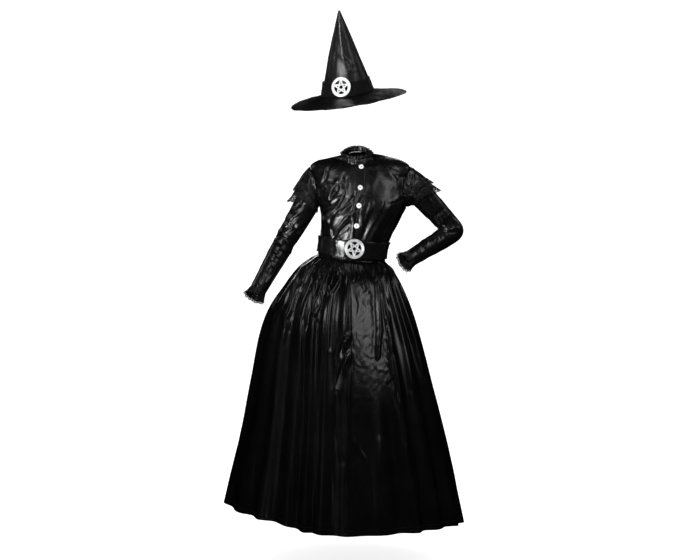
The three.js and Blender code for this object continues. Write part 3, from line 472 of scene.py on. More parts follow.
skirt_ring = track(
    ("z", "cx", "half", "front", "back", "gather", "fold"),
    [
        (-336.6, -26, 117, 90, 80, 0.9, 0.4),
        (-349, -27, 118, 91, 82, 0.9, 0.5),
        (-358, -33, 129, 104, 98, 3.2, 2),
        (-390, -45, 163, 138, 136, 4.0, 5),
        (-434, -53, 193, 173, 172, 1.4, 8),
        (-518, -63, 237, 222, 222, 0, 10.5),
        (-612, -65, 268, 258, 260, 0, 12),
        (-777, -58, 308, 304, 308, 0, 13),
        (-917, -53, 338, 337, 342, 0, 14),
        (-1057, -51, 369, 370, 375, 0, 15),
        (-1237, -50, 410, 412, 416, 0, 16),
    ],
)
RIDGES = [  # angle at the waist, angle at the hem, share of the full fold height
    (-86, -84, 0.8), (-66, -58, 0.5), (-49, -41, 1), (-34, -27, 0.4), (-22, -18, 0.9),
    (-10, -11, 0.45), (8, 1, 0.5), (23, 18, 0.35), (38, 34, 1.1), (56, 48, 0.5), (72, 64, 0.95),
    (89, 83, 0.55), (108, 103, 1.1), (127, 124, 0.5), (149, 146, 1.15), (170, 168, 0.55),
    (192, 191, 1), (214, 214, 0.5), (235, 237, 1.15), (255, 258, 0.55),
]
FRONT_SEAM = 6
PANEL = (6.03, 8.12)  # the folds that bound the flat panel
PANEL_OUT = 1.022  # and how far it stands out
LEFT_SIDE_SEAM = 11
hem_height = track(
    ("angle", "z"),
    [(-90, -1197), (-60, -1198), (-32, -1209), (-15, -1232), (0, -1239), (30, -1240), (60, -1248),
     (90, -1266), (135, -1250), (180, -1237), (225, -1222), (270, -1197)],
)


def ridge_angle(fold, share):
    """The angle of a place counted in folds, at a share of the way from waist to hem."""
    count = len(RIDGES)
    ridges = np.array(RIDGES)
    i = np.floor(fold).astype(int)

    def angle(k):
        return mix(ridges[k % count, 0], ridges[k % count, 1], share) + 360 * (k // count)

    return mix(angle(i), angle(i + 1), fold - i)


def skirt(fold, z):
    """The skirt at a place counted in folds and a height, before waist and hem are bent."""
    fold, z = arrays(fold, z)
    ring = skirt_ring(z)
    share = np.clip((WAIST_Z - z) / (WAIST_Z - HEM_Z), 0, 1)
    down = np.sqrt(share)
    angle = ridge_angle(fold, down)
    sizes = np.array(RIDGES)[:, 2]
    count = len(RIDGES)
    i = np.floor(fold).astype(int)
    t = fold - i
    size = mix(sizes[i % count], sizes[(i + 1) % count], t)
    wave = size * np.cos(2 * np.pi * t) * mix(1, 0.8, ease((-640 - z) / 420))
    small = 0.22 * np.cos(2 * np.pi * (2 * fold + 0.12 * np.sin(fold * 2.4)))
    small = small + 0.2 * np.cos(2 * np.pi * (3.4 * fold + 0.35 * np.sin(fold * 1.7)) + 0.8)
    out = ring["fold"] * wave + ring["gather"] * small
    # The lit panel beside the front seam is one broad flat face: a chord between two folds.
    start, end = (ridge_angle(edge, down) for edge in PANEL)
    across = (fold - PANEL[0]) / (PANEL[1] - PANEL[0])
    flat = ease(across / 0.1) * ease((1 - across) / 0.1) * ease((z + 1060) / 300) * ease((-362 - z) / 70)
    reach = cosd((end - start) / 2) / cosd(angle - (start + end) / 2)
    reach = ring["half"] * (reach * PANEL_OUT - 1)
    out = np.where(flat > 0, mix(out, reach, flat), out)
    side, ahead = sind(angle), cosd(angle)
    front = ahead > 0
    depth = np.where(front, ring["front"], ring["back"])
    wrapped = np.where(angle < -90, angle + 360, np.where(angle > 270, angle - 360, angle))
    hem = (hem_height(wrapped)["z"] - HEM_Z) * share**1.5
    dip = np.where(front, -WAIST_DIP * np.maximum(ahead, 0) ** 1.5, 4 * np.maximum(-ahead, 0) ** 1.5)
    return np.stack(
        [
            ring["cx"] + (ring["half"] + out) * side,
            -(depth + out) * ahead,
            z + hem + (dip - WAIST_ROLL * side) * ease((z + 450) / 110),
        ],
        -1,
    )


# Creases: lines placed one by one, in photo pixels or in millimetres on the cloth


def seen_at(p):
    """Where points show in the photograph's frame, in pixels."""
    far = (p[..., 1] - EYE[1]) / -EYE[1]
    return (
        FRAME_CENTRE[0] + (p[..., 0] - EYE[0]) / (PIXEL * far),
        FRAME_CENTRE[1] - (p[..., 2] - EYE[2]) / (PIXEL * far),
    )


def frontal(facing, start=0.05, over=0.3):
    """From 0 to 1 as cloth turns to the camera; the creases of the photograph show there."""
    return ease((-facing[..., 1] - start) / over)


def line_lift(x, y, lines, unit_mm):
    """The height that a list of crease lines gives at places on a plane.

    A row is its points, half width and height in millimetres, and lean: how much wider the crease is on
    the right of its way. unit_mm is how many millimetres one step of the plane's numbers is.
    """
    lift = np.zeros(x.shape)
    for points, width, height, lean in lines:
        points = np.array(points, float)
        reach = 3.2 * width * (1 + abs(lean)) / unit_mm
        low, high = points.min(0) - reach, points.max(0) + reach
        near = (x > low[0]) & (x < high[0]) & (y > low[1]) & (y < high[1])
        if not near.any():
            continue
        px, py = x[near], y[near]
        steps = np.hypot(*(points[1:] - points[:-1]).T)
        total = steps.sum()
        best = np.full(px.shape, 1e9)
        right = np.zeros(px.shape)
        along = np.zeros(px.shape)
        done = 0.0
        for a, b, step in zip(points, points[1:], steps):
            d = b - a
            t = np.clip(((px - a[0]) * d[0] + (py - a[1]) * d[1]) / step**2, 0, 1)
            away = np.hypot(px - a[0] - t * d[0], py - a[1] - t * d[1])
            nearer = away < best
            best = np.where(nearer, away, best)
            right = np.where(nearer, np.sign(d[0] * (py - a[1]) - d[1] * (px - a[0])), right)
            along = np.where(nearer, (done + t * step) / total, along)
            done += step
        wide = width / unit_mm * (1 + np.maximum(0, right * np.sign(lean)) * abs(lean) * 1.8)
        fade = np.sin(np.pi * np.clip(0.08 + 0.84 * along, 0, 1)) ** 0.55
        shape = np.exp(-((best / wide) ** 2)) - 0.28 * np.exp(-(((best - 2 * wide) / wide) ** 2))
        lift[near] += height * shape * fade
    return lift


def smooth_noise(x, y, seed, size):
    """Gentle repeatable unevenness, about 1 high, with features of that size."""
    rng = np.random.default_rng(seed)
    total = np.zeros(np.shape(x))
    for _ in range(14):
        turn = rng.uniform(0, 2 * np.pi)
        wave = rng.uniform(0.6, 1.6) * 2 * np.pi / size
        shift = rng.uniform(0, 2 * np.pi)
        total = total + np.sin((x * np.cos(turn) + y * np.sin(turn)) * wave + shift)
    return total / 4


# Bodice, in photo pixels
BODICE_LINES = [
    (((325.5, 173.3), (321.2, 181.3), (318.5, 187.7)), 4.5, 2.6, 0.5),
    (((320.1, 191.9), (322.3, 187.1), (326.5, 184.3), (330.3, 185.5), (330.8, 188.7), (327.6, 195.1),
      (323.3, 198.3)), 3.6, 3.0, -0.5),
    (((337.2, 180.7), (334, 187.7), (329.7, 196.2), (328.7, 200.5), (330.3, 202.1), (336.1, 198.3),
      (340.9, 196.2)), 3.6, 3.2, 0.5),
    (((337.7, 181.3), (340.9, 187.7), (338.8, 193.2), (334.5, 197)), 4.2, 2.2, -0.4),
    (((344.7, 191.9), (342.5, 198.3), (338.3, 205.8), (332.9, 211.1), (328.7, 214.3), (327.6, 219.7),
      (329.2, 228.2), (331.9, 238.8)), 4.2, 3.4, 0.6),
    (((320.1, 204.7), (323.3, 210.1), (328.7, 211.4), (334, 208.5)), 4.2, -2.6, 0.3),
    (((331.9, 239.4), (336.1, 230.3), (344.7, 219.7), (351.6, 213)), 4.2, 3.4, 0.5),
    (((334, 238.2), (340, 229.6), (346.8, 222.6), (352.1, 218.5)), 3.8, 2.6, 0.4),
    (((330.8, 226.1), (334, 218.6), (340.4, 211.1), (348.9, 204.7)), 4.4, 3.0, 0.6),
    (((336.9, 237.4), (343.5, 231), (349.5, 225.6)), 3.6, 2.2, 0.4),
    (((337.5, 215.5), (342.5, 209), (349, 203.5), (353, 197)), 4.6, -2.2, 0),
    (((363.9, 187.7), (359.9, 196.2), (355.3, 206.9), (353.2, 213.9)), 4.0, 2.6, 0.5),
    (((356.4, 192), (355.3, 200.5), (354, 207.9)), 3.4, 1.6, 0),
    (((354.3, 213.3), (353.2, 226.1), (352.7, 238.2)), 3.6, 1.8, 0.4),
    (((362.6, 206), (361.7, 219), (361.9, 230)), 3.6, 1.4, 0.3),
    (((321.2, 211.3), (325.2, 226.1), (328.1, 239.4)), 4.2, 2.4, 0.5),
    (((318.4, 207), (320.6, 222), (322.8, 239)), 4.4, 1.6, 0),
    (((351, 166.3), (345, 172.7), (340.4, 180.2)), 9, 2.0, 0.4),
    (((330, 166), (327, 171), (326, 177)), 5, -1.8, 0),
    (((345, 176), (346.5, 183), (346, 191)), 7, -1.4, 0),
    (((385.7, 163.7), (388.4, 170.6), (392.7, 175.9), (398, 181.3), (400.5, 188)), 5.2, 2.6, 0.7),
    (((391, 170), (397, 173.6), (404, 173.4)), 6, 2.2, 0),
    (((398, 176), (399.6, 181), (400.6, 186.5)), 3.4, 1.8, 0),
    (((403, 178), (403.5, 184), (402.6, 191)), 3.8, 1.8, 0),
    (((372.4, 203.7), (368.1, 213.3), (362.8, 226.1), (360.2, 236.5)), 5.4, 2.4, 0.4),
    (((383.1, 203.7), (376.7, 217.5), (369.2, 230.3), (365, 239)), 5.8, 2.4, 0.4),
    (((390, 207), (383.5, 218), (376.5, 229), (372, 238)), 5.8, 2.0, 0.3),
    (((397.4, 209.1), (389.5, 221.8), (384.1, 230.3), (380, 238)), 5.2, 2.2, 0.4),
    (((401, 205), (396, 216), (392, 226)), 5, 1.8, 0),
    (((366, 200.6), (363.9, 211.1), (361.7, 220.7)), 4.4, 1.6, 0.3),
    (((376, 176), (372, 184), (371, 193)), 12, 1.2, 0),
    (((402, 195), (396, 200), (390, 202)), 6, 2.0, 0),
    (((402.5, 201), (397, 204.5), (391, 205.5)), 4.6, 1.5, 0),
]
# The same cloth on the sides and back, by angle times the form's radius and s, in millimetres
BODICE_HIDDEN = [
    (((150, 160), (172, 120), (205, 60)), 5.5, 2.6, 0.4),
    (((168, 172), (196, 128), (232, 84)), 5, 2.2, -0.4),
    (((262, 182), (284, 140), (296, 88), (300, 40)), 6, 2.8, 0.5),
    (((292, 176), (312, 138), (322, 96)), 4.6, 2.0, -0.3),
    (((330, 92), (338, 62), (340, 20)), 5, 2.2, 0.3),
    (((356, 130), (352, 90), (350, 30)), 5.5, 2.4, 0.4),
    (((374, 90), (370, 58), (371, 22)), 4.6, 1.8, 0),
    (((238, 214), (262, 196), (288, 192)), 6, 2.4, 0.3),
    (((236, 232), (266, 222), (302, 224)), 5, 1.8, 0),
    (((454, 216), (432, 198), (404, 192)), 6, 2.4, 0.3),
    (((458, 236), (430, 224), (396, 226)), 5, 1.8, 0),
    (((434, 182), (414, 142), (402, 90), (396, 44)), 6, 2.8, -0.5),
    (((404, 170), (388, 138), (384, 100)), 4.6, 2.0, 0.3),
    (((300, 262), (346, 270), (392, 262)), 9, 1.6, 0),
    (((298, 306), (345, 316), (390, 306)), 9, 1.4, 0),
    (((470, 168), (452, 128), (430, 84)), 5, 2.2, 0.4),
    (((486, 140), (470, 96), (458, 48)), 5.4, 2.6, -0.4),
    (((222, 140), (244, 96), (262, 44)), 5.4, 2.4, 0.4),
    (((196, 96), (212, 56), (220, 14)), 4.8, 2.0, 0),
    (((500, 96), (492, 56), (488, 14)), 4.8, 2.0, 0),
]
# Sleeves, in photo pixels
SLEEVE_LINES = {
    "right": [
        (((301.5, 199.5), (296.7, 204.2), (292.4, 208.8), (293.4, 210.8), (298.8, 209), (303, 206.9)),
         3.6, 3.0, 0.4),
        (((306.2, 209.6), (298.8, 213.3), (291.3, 218.6), (287, 224.9)), 4, 3.0, 0.5),
        (((292.9, 217.9), (289.2, 222.9), (292.9, 225), (291.9, 229.3), (285.4, 232.4)), 3.4, 2.8, 0),
        (((283.4, 228), (287.8, 224.2)), 3.4, 1.8, 0),
        (((313, 214.9), (305.2, 221.8), (295.6, 230.3), (289.3, 236.7)), 4.2, 2.6, 0.5),
        (((311.5, 222), (303, 230), (297, 238)), 4.4, 1.8, 0),
        (((272.6, 238.9), (279.6, 238.4), (286, 240.6), (293.4, 245.2)), 3.6, 3.4, 0.5),
        (((271.9, 241.6), (279, 243), (285.4, 245.5), (291.9, 249.2)), 3.4, -2.4, 0),
        (((270.6, 245), (277.5, 246.4), (284.4, 249.6), (290.5, 253)), 3.6, 2.4, 0.3),
        (((292.9, 246.3), (291, 251.6), (287.6, 257), (281.8, 263.3)), 3.8, 2.2, 0.4),
        (((269.6, 250), (274.5, 255), (281, 258)), 4, 1.8, 0),
        (((267.6, 258), (272, 265), (277, 268)), 4.4, 1.8, 0.3),
        (((281, 266), (274, 275), (266, 283)), 5, 1.6, 0),
        (((263.5, 267), (264.5, 277), (261, 288)), 5, 1.6, 0),
        (((256.5, 279), (258.4, 287), (256, 294)), 4.4, 1.4, 0),
        (((251, 287), (256.4, 291.4), (263, 295)), 4, 1.4, 0),
    ],
    "left": [
        (((431, 200.4), (437.4, 208.4), (443.6, 217.4)), 3.8, 2.4, 0.4),
        (((436.6, 211.2), (441.4, 216.8), (445.2, 223.7)), 3.6, 2.6, 0.4),
        (((441.4, 204), (447.4, 212.2), (453.8, 220.4)), 3.8, 2.2, 0.4),
        (((427.4, 203.6), (433.8, 211.4), (439.4, 220.6)), 4, 2.0, 0),
        (((443.5, 226.5), (449, 229.4), (456.7, 227.1)), 3.6, 3.2, 0.4),
        (((440.4, 229.4), (447, 233.2), (455.4, 232.4)), 3.6, -2.4, 0),
        (((449.5, 221.4), (452.6, 226.4), (459.4, 229.2)), 3.6, 2.4, 0),
        (((444.4, 233), (449.4, 238.2), (457, 238.2)), 4, 2.2, 0.3),
        (((437.4, 236.4), (434.4, 241.4), (436, 247)), 4.2, 2.0, 0),
        (((428.4, 239.4), (426.4, 245.4), (428.6, 251.6)), 4.4, 1.8, 0.3),
        (((419.4, 245.4), (418.4, 251.4), (420.6, 257)), 4.2, 1.6, 0),
        (((409.4, 253.4), (409.8, 258.4), (411.6, 263)), 4, 1.4, 0),
    ],
}
# Sleeves, hidden sides: around in millimetres (0.7 for each degree) and the length down the arm
SLEEVE_HIDDEN = {
    "right": [
        (((150, 120), (176, 134), (206, 128)), 4.6, 2.2, 0.3),
        (((160, 168), (184, 178), (214, 168)), 4.4, 2.2, 0.3),
        (((140, 214), (172, 222), (206, 216)), 4.2, 2.8, 0.4),
        (((146, 230), (176, 236), (210, 234)), 4, 2.6, 0.4),
        (((150, 250), (178, 250), (208, 256)), 4.2, 2.2, 0),
        (((168, 292), (190, 306), (214, 316)), 4.8, 1.8, 0),
        (((150, 340), (180, 352), (206, 350)), 4.6, 1.8, 0.3),
        (((160, 392), (186, 402), (212, 396)), 4.4, 1.6, 0),
        (((12, 236), (30, 240), (46, 236)), 4, 2.2, 0),
        (((8, 256), (28, 262), (44, 256)), 4, 1.8, 0),
    ],
    "left": [
        (((150, 130), (176, 140), (206, 132)), 4.6, 2.2, 0.3),
        (((160, 176), (184, 186), (214, 178)), 4.4, 2.2, 0.3),
        (((10, 214), (30, 222), (52, 218)), 3.8, 3.0, 0.4),
        (((6, 230), (30, 238), (54, 234)), 3.8, 2.8, 0.4),
        (((8, 248), (30, 254), (50, 250)), 3.8, 2.4, 0.3),
        (((170, 232), (196, 236), (222, 232)), 4.6, 1.8, 0),
        (((160, 290), (184, 300), (210, 296)), 4.6, 1.8, 0),
        (((166, 344), (190, 350), (214, 342)), 4.4, 1.6, 0.3),
        (((158, 392), (184, 398), (206, 392)), 4.4, 1.6, 0),
    ],
}
# Puffed caps, in photo pixels
CAP_LINES = {
    "right": [
        (((312.6, 173), (315, 181), (317, 189)), 3, 1.8, 0.3),
        (((308.6, 171), (309.4, 181), (307.6, 191)), 5, 1.5, 0),
        (((302.3, 189.6), (304, 196), (310, 200.6)), 3.4, 1.9, 0.3),
        (((299.4, 177), (301.4, 184), (299.8, 191)), 3.6, 1.2, 0),
    ],
    "left": [
        (((413.2, 167.6), (413.7, 177), (413.2, 187.4)), 3, 2.2, 0.4),
        (((413, 169), (409.6, 174), (407, 184)), 3.6, 1.6, 0),
        (((414, 189), (418.4, 187.8), (423.4, 186)), 2.8, 1.6, 0),
        (((403.6, 198), (410, 195.8), (418, 193), (425.6, 190)), 3.4, 1.8, 0.3),
        (((420, 171), (424, 179), (427.6, 187)), 3.8, 1.2, 0),
    ],
}
# Skirt, in photo pixels: first the gathers under the belt, then the long folds
GATHER_LINES = [
    (((317.4, 257), (312.8, 264), (306.4, 275)), 4.2, 3.4, 0.4),
    (((320.4, 256), (318.4, 265), (311.4, 279), (309.8, 288)), 3.6, 3.4, 0.4),
    (((323, 257), (321.8, 266), (319.4, 277)), 3.4, 3.2, 0.3),
    (((326, 258.5), (326, 267), (323.4, 276)), 3.2, 2.8, 0),
    (((329.6, 258.6), (329.2, 268), (325.4, 283), (324.6, 292)), 3.6, 3.6, 0.4),
    (((333.4, 259.4), (334, 267), (333, 273)), 3, 3.0, 0),
    (((336.4, 259.8), (338.4, 268), (339.6, 277), (337.6, 285)), 3.6, 3.4, -0.3),
    (((340, 260.4), (341.6, 267), (341.4, 272.6)), 3, 3.0, 0),
    (((344, 261), (345, 268), (344.6, 279)), 3.4, 3.0, 0.4),
    (((352, 262), (352.4, 270), (354, 280)), 3.4, 3.0, 0),
    (((357, 262.4), (356.8, 270), (358.4, 277)), 3.2, 2.8, 0),
    (((361.4, 262), (363.2, 269), (367.2, 285), (368.6, 291.4), (364, 294.6)), 3.8, 3.4, 0.4),
    (((366, 260.8), (367.8, 266), (371, 273)), 3.2, 3.0, 0),
    (((370.4, 259.4), (373.4, 266), (376, 279)), 3.4, 3.2, 0.4),
    (((374.4, 258.8), (379.4, 266), (384, 280)), 3.6, 3.2, 0.3),
    (((378.4, 258), (385, 266), (392.4, 283)), 3.8, 3.4, 0.3),
    (((381.4, 257.8), (390.4, 267.4), (398.8, 283)), 4, 3.0, 0.3),
    (((315.8, 262.4), (308.4, 273), (300.4, 288)), 4, 2.8, -0.4),
    (((309.8, 262), (302.4, 269), (294.4, 281)), 4.2, 2.6, 0.3),
]
SKIRT_LINES = GATHER_LINES + [
    (((303, 269), (295.4, 291), (290.4, 311), (285, 321.4), (288.6, 324.4)), 5.2, 5.2, 0.5),
    (((292.4, 281), (287.4, 292), (283.4, 305)), 8, 4.0, 0.4),
    (((275, 317), (270, 337), (275, 346.6), (283, 341), (285.4, 325)), 6.4, 1.6, -0.5),
    (((276.4, 334), (278, 342), (281, 340)), 6, -1, 0),
    (((313, 277), (313.4, 295), (313, 313)), 4.4, 5.0, -0.4),
    (((319, 293), (320.2, 304), (315.6, 314), (319.4, 319.6)), 4.2, 4.4, 0.3),
    (((301, 319), (300, 345), (301, 373), (300, 395)), 5.4, 4.0, 0.4),
    (((308, 331), (307, 365), (307, 399)), 5, 3.4, 0.4),
    (((330, 269), (325.4, 293), (322, 325), (320, 365), (318, 425), (316, 465), (315, 531)),
     5.4, 5.4, 0.5),
    (((329, 284), (331.2, 292), (335.4, 286), (339.4, 273)), 3.8, 3.8, 0.4),
    (((335, 294), (332.4, 318), (331.4, 348)), 7, -3.4, 0),
    (((347.2, 269), (349.6, 305), (350.4, 365), (349, 425), (346.8, 485), (346, 535)), 3.4, 3.2, 0.3),
    (((349, 334), (343, 345), (339.4, 353.6)), 5.4, 6.0, -0.5),
    (((349, 353), (343, 367), (336.4, 384.4)), 5.8, 6.6, -0.5),
    (((375, 265), (378.6, 290), (380.6, 331), (378.4, 357)), 5.2, 5.0, 0.4),
    (((384, 279), (386.4, 310), (387, 336)), 6, -3.4, 0),
    (((355, 297), (357.4, 305), (355.8, 314)), 3.2, 0.9, 0.4),
    (((362, 304), (366, 309), (372, 309.6)), 3.2, 0.8, 0),
    (((370, 297), (368.4, 303), (372, 308)), 3, 0.8, 0),
    (((353, 317), (360, 320.4), (366, 317)), 3.2, 0.7, 0),
    (((351.6, 326), (355.4, 332.6), (365, 334.4), (375.6, 333)), 3.6, 0.5, 0.4),
    (((358, 337), (362, 344), (360, 352)), 3.4, 0.8, 0),
    (((367, 340), (373, 345), (380, 345.6)), 3.4, 0.9, 0),
    (((364, 352), (369.4, 357), (377, 356.4)), 3.6, 0.8, 0),
    (((354, 360), (359.4, 366), (368, 366)), 3.6, 0.8, 0),
    (((373, 362), (377.4, 369), (386, 371)), 3.6, 1.0, 0),
    (((389, 329), (391.4, 343), (390.4, 356), (393, 376), (387.4, 381.6)), 4, 3.8, 0.4),
    (((386, 338), (388.6, 344), (385.4, 350)), 3, 1.8, 0),
    (((385.4, 360), (389, 365), (386.4, 372)), 3, 1.8, 0),
    (((351.6, 397.4), (360, 396.4), (370, 398.6)), 3.8, 0.4, 0.3),
    (((351.6, 405), (355.4, 400.6), (360, 399)), 3.6, 0.5, 0),
    (((385, 271), (395, 305), (407, 345), (413, 385)), 6, 4.2, 0.4),
    (((391, 267), (403, 305), (415, 341), (427, 385)), 6, 4.2, 0.4),
    (((397, 289), (408, 315), (420, 349)), 5.4, 3.2, 0.3),
    (((425, 355), (426.6, 371), (429, 391)), 4.6, 2.8, 0),
    (((396, 395), (402.4, 415), (404.4, 443)), 8, -2.6, 0),
    (((392, 389), (395.4, 403), (397.4, 419)), 5, 0.5, 0.3),
    (((413, 455), (416.4, 491), (418.4, 533)), 9, 4.2, 0),
    (((432, 443), (438, 452), (443.4, 463), (445.4, 475)), 6, 3.0, -0.4),
    (((335, 433), (339.4, 447), (343.4, 463)), 4.6, 2.2, 0.3),
    (((355, 440), (360.4, 451), (368, 463)), 4.6, 2.2, 0.3),
    (((245.4, 441), (243.4, 471), (240.6, 505)), 6, 3.4, 0.3),
    (((257, 447), (254.4, 479), (252.6, 512)), 6, -2.6, 0),
    (((289, 471), (287.4, 499), (286.4, 527)), 6, 3.2, 0.3),
    (((266.6, 450.4), (281, 450.2), (296, 453)), 5, 0.5, 0),
    (((270.6, 466.4), (281, 466.8), (289, 468.6)), 5, 0.4, 0),
    (((301, 429), (303.4, 465), (301.4, 507)), 6, 3.0, -0.3),
    (((364, 511), (366, 524), (363.4, 536)), 5.4, 2.6, 0),
    (((379, 441), (377, 481), (380.4, 529)), 12, 2.6, 0),
    (((446, 471), (452, 501), (456.4, 523)), 8, 2.8, 0),
    (((330, 471), (331.4, 501), (329.4, 535)), 6, -2.6, 0),
    (((272, 489), (269.4, 505), (268.4, 519)), 6, 2.2, 0),
]
# Skirt, sides and back. Rows are fold, top, end fold, end, half width and height of a crease
SKIRT_HIDDEN = [
    (10.6, -352, 10.75, -470, 5, 3.4), (11.2, -350, 11.3, -520, 5.4, 4.2),
    (11.6, -354, 11.7, -432, 4.4, 3.2), (12.0, -350, 12.05, -640, 6, 4.6),
    (12.4, -352, 12.5, -448, 4.4, 3.4), (12.75, -352, 12.62, -560, 5.4, 4),
    (13.1, -350, 13.2, -452, 4.6, 3.4), (13.5, -354, 13.42, -500, 5, 3.6),
    (13.95, -350, 14.0, -700, 6.4, 4.8), (14.3, -352, 14.4, -436, 4.2, 3.2),
    (14.65, -352, 14.7, -540, 5.2, 3.8), (15.0, -350, 15.1, -470, 5, 3.6),
    (15.4, -354, 15.3, -610, 5.6, 4.2), (15.8, -352, 15.85, -448, 4.6, 3.4),
    (16.15, -350, 16.2, -520, 5, 3.6), (16.5, -352, 16.58, -440, 4.4, 3.2),
    (16.95, -350, 16.9, -680, 6.2, 4.8), (17.35, -354, 17.3, -470, 4.6, 3.4),
    (17.7, -352, 17.8, -560, 5.4, 4), (18.1, -350, 18.1, -446, 4.6, 3.4),
    (18.5, -352, 18.4, -500, 5, 3.8), (18.9, -350, 19.0, -620, 6, 4.4),
    (19.3, -354, 19.35, -452, 4.4, 3.2), (19.7, -352, 19.6, -540, 5.2, 3.8),
    (10.9, -800, 10.95, -1150, 8, 3.4), (12.3, -860, 12.35, -1232, 9, 3.6),
    (13.6, -700, 13.55, -1050, 8, 3.4), (14.4, -900, 14.45, -1232, 9, 3.8),
    (15.6, -780, 15.55, -1120, 8, 3.2), (16.6, -940, 16.6, -1232, 9, 3.6),
    (17.4, -760, 17.45, -1080, 8, 3.4), (18.5, -900, 18.5, -1232, 9, 3.6),
    (19.4, -820, 19.4, -1160, 8, 3.4), (12.6, -660, 13.1, -700, 6, 2.4),
    (15.2, -720, 15.7, -690, 6, 2.2), (17.9, -800, 18.3, -830, 6, 2.2),
    (14.1, -1010, 14.5, -1040, 6, 2), (16.1, -640, 16.5, -668, 6, 2.4),
    (19.1, -700, 19.5, -730, 6, 2.2),
]
# Belt, its tab and the hat's crown, in photo pixels
BELT_LINES = [
    (((336.6, 240), (337.2, 248), (336.8, 257)), 3.4, 1.4, 0.4),
    (((320, 245), (327, 248.4), (333, 249)), 6, 0.6, 0),
    (((321, 250), (328, 252.6), (335, 253.4)), 5, 0.5, 0),
    (((372, 246), (378, 244.6), (383, 242)), 6, 0.6, 0),
]
TAB_LINES = [
    (((338.6, 240), (338.2, 249), (338.6, 258)), 5, 0.5, 0),
    (((344.4, 240), (344.8, 249), (344.2, 258)), 5, 0.4, 0),
]
CROWN_LINES = [
    (((340.7, 55), (348, 60.7), (351, 65.4), (351.4, 73.8)), 5, 2.2, 0.4),
    (((339.4, 12), (340.6, 40), (344, 62), (349, 80)), 6, 1.2, 0),
    (((334, 50), (332, 64), (330.4, 78)), 5, 1.4, 0.3),
    (((343, 36), (346.6, 40), (349, 41)), 4, 0.9, 0),
    (((346, 70), (353, 71), (359, 69)), 5, 0.9, 0),
]


# Meshes


def normals(grid, closed):
    """Which way a grid of points faces; a closed one repeats its first column at its end."""
    if closed:
        wide = np.concatenate([grid[:, -2:-1], grid, grid[:, 1:2]], axis=1)
        along = wide[:, 2:] - wide[:, :-2]
    else:
        along = np.gradient(grid, axis=1)
    return unit(np.cross(along, np.gradient(grid, axis=0)))


def raised(grid, lift, closed=False, way=1):
    """A grid moved out along its normals, or in where way is -1."""
    if closed:
        lift[:, -1] = lift[:, 0]
    return grid + normals(grid, closed) * way * lift[..., None]


def make_object(name, points, groups, material, uvs=None, flat=()):
    """A mesh object. groups are arrays of faces, uvs one array of corner places for each group.

    flat names the groups that are shaded flat, by their index.
    """
    mesh = bpy.data.meshes.new(name)
    mesh.vertices.add(len(points))
    mesh.vertices.foreach_set("co", (np.asarray(points, float) * mm).ravel())
    corner = np.concatenate([g.ravel() for g in groups])
    totals = np.concatenate([np.full(len(g), g.shape[1]) for g in groups])
    starts = np.concatenate([[0], np.cumsum(totals)[:-1]])
    mesh.loops.add(len(corner))
    mesh.loops.foreach_set("vertex_index", corner.astype(np.int32))
    mesh.polygons.add(len(totals))
    mesh.polygons.foreach_set("loop_start", starts.astype(np.int32))
    mesh.polygons.foreach_set("loop_total", totals.astype(np.int32))
    smooth = np.concatenate([np.full(len(g), i not in flat) for i, g in enumerate(groups)])
    mesh.polygons.foreach_set("use_smooth", smooth)
    if uvs is not None:
        layer = mesh.uv_layers.new(name="cloth")
        corners = np.concatenate([u.reshape(-1, 2) for u in uvs])
        layer.data.foreach_set("uv", corners.ravel().astype(np.float32))
    mesh.update(calc_edges=True)
    mesh.validate()
    mesh.materials.append(material)
    obj = bpy.data.objects.new(name, mesh)
    bpy.context.scene.collection.objects.link(obj)
    return obj


def arc_lengths(grid):
    """Cloth places of a grid's points, in metres: along the rows, and up the columns."""
    along = np.linalg.norm(np.diff(grid, axis=1), axis=-1).mean(0)
    up = np.linalg.norm(np.diff(grid, axis=0), axis=-1).mean(1)
    u = np.concatenate([[0], np.cumsum(along)])
    v = np.concatenate([[0], np.cumsum(up)])
    return np.stack(np.broadcast_arrays(u[None, :], v[:, None]), -1) * mm


def shell(name, grid, material, thickness=SKIN, lift=0.0, closed=False, outward=1):
    """A thin closed shell round a grid of points. A closed grid repeats its first column at its end."""
    normal = normals(grid, closed) * outward
    outer = grid + normal * (lift + thickness / 2)
    inner = grid + normal * (lift - thickness / 2)
    place = arc_lengths(grid)
    rows, columns = grid.shape[:2]
    used = columns - 1 if closed else columns
    face = np.arange(rows * used).reshape(rows, used)
    if closed:
        face = np.concatenate([face, face[:, :1]], axis=1)
        outer, inner = outer[:, :-1], inner[:, :-1]
    points = np.concatenate([outer.reshape(-1, 3), inner.reshape(-1, 3)])
    back = face + rows * used
    groups, uvs = [], []

    def add(corners, places):
        groups.append(np.stack([x.ravel() for x in corners], -1)[:, ::outward])
        uvs.append(np.stack([x.reshape(-1, 2) for x in places], 1)[:, ::outward])

    def cells(x):
        return x[:-1, :-1], x[:-1, 1:], x[1:, 1:], x[1:, :-1]

    def turned(x):
        return x[:-1, :-1], x[1:, :-1], x[1:, 1:], x[:-1, 1:]

    def rim(side, start, end):
        add((face[side][start], back[side][start], back[side][end], face[side][end]),
            (place[side][start], place[side][start], place[side][end], place[side][end]))

    add(cells(face), cells(place))
    add(turned(back), turned(place))
    to_end, from_start = slice(None, -1), slice(1, None)
    rim(0, to_end, from_start)
    rim(-1, from_start, to_end)
    if not closed:
        rim(np.s_[:, 0], from_start, to_end)
        rim(np.s_[:, -1], to_end, from_start)
    return make_object(name, points, groups, material, uvs, flat=tuple(range(2, len(groups))))


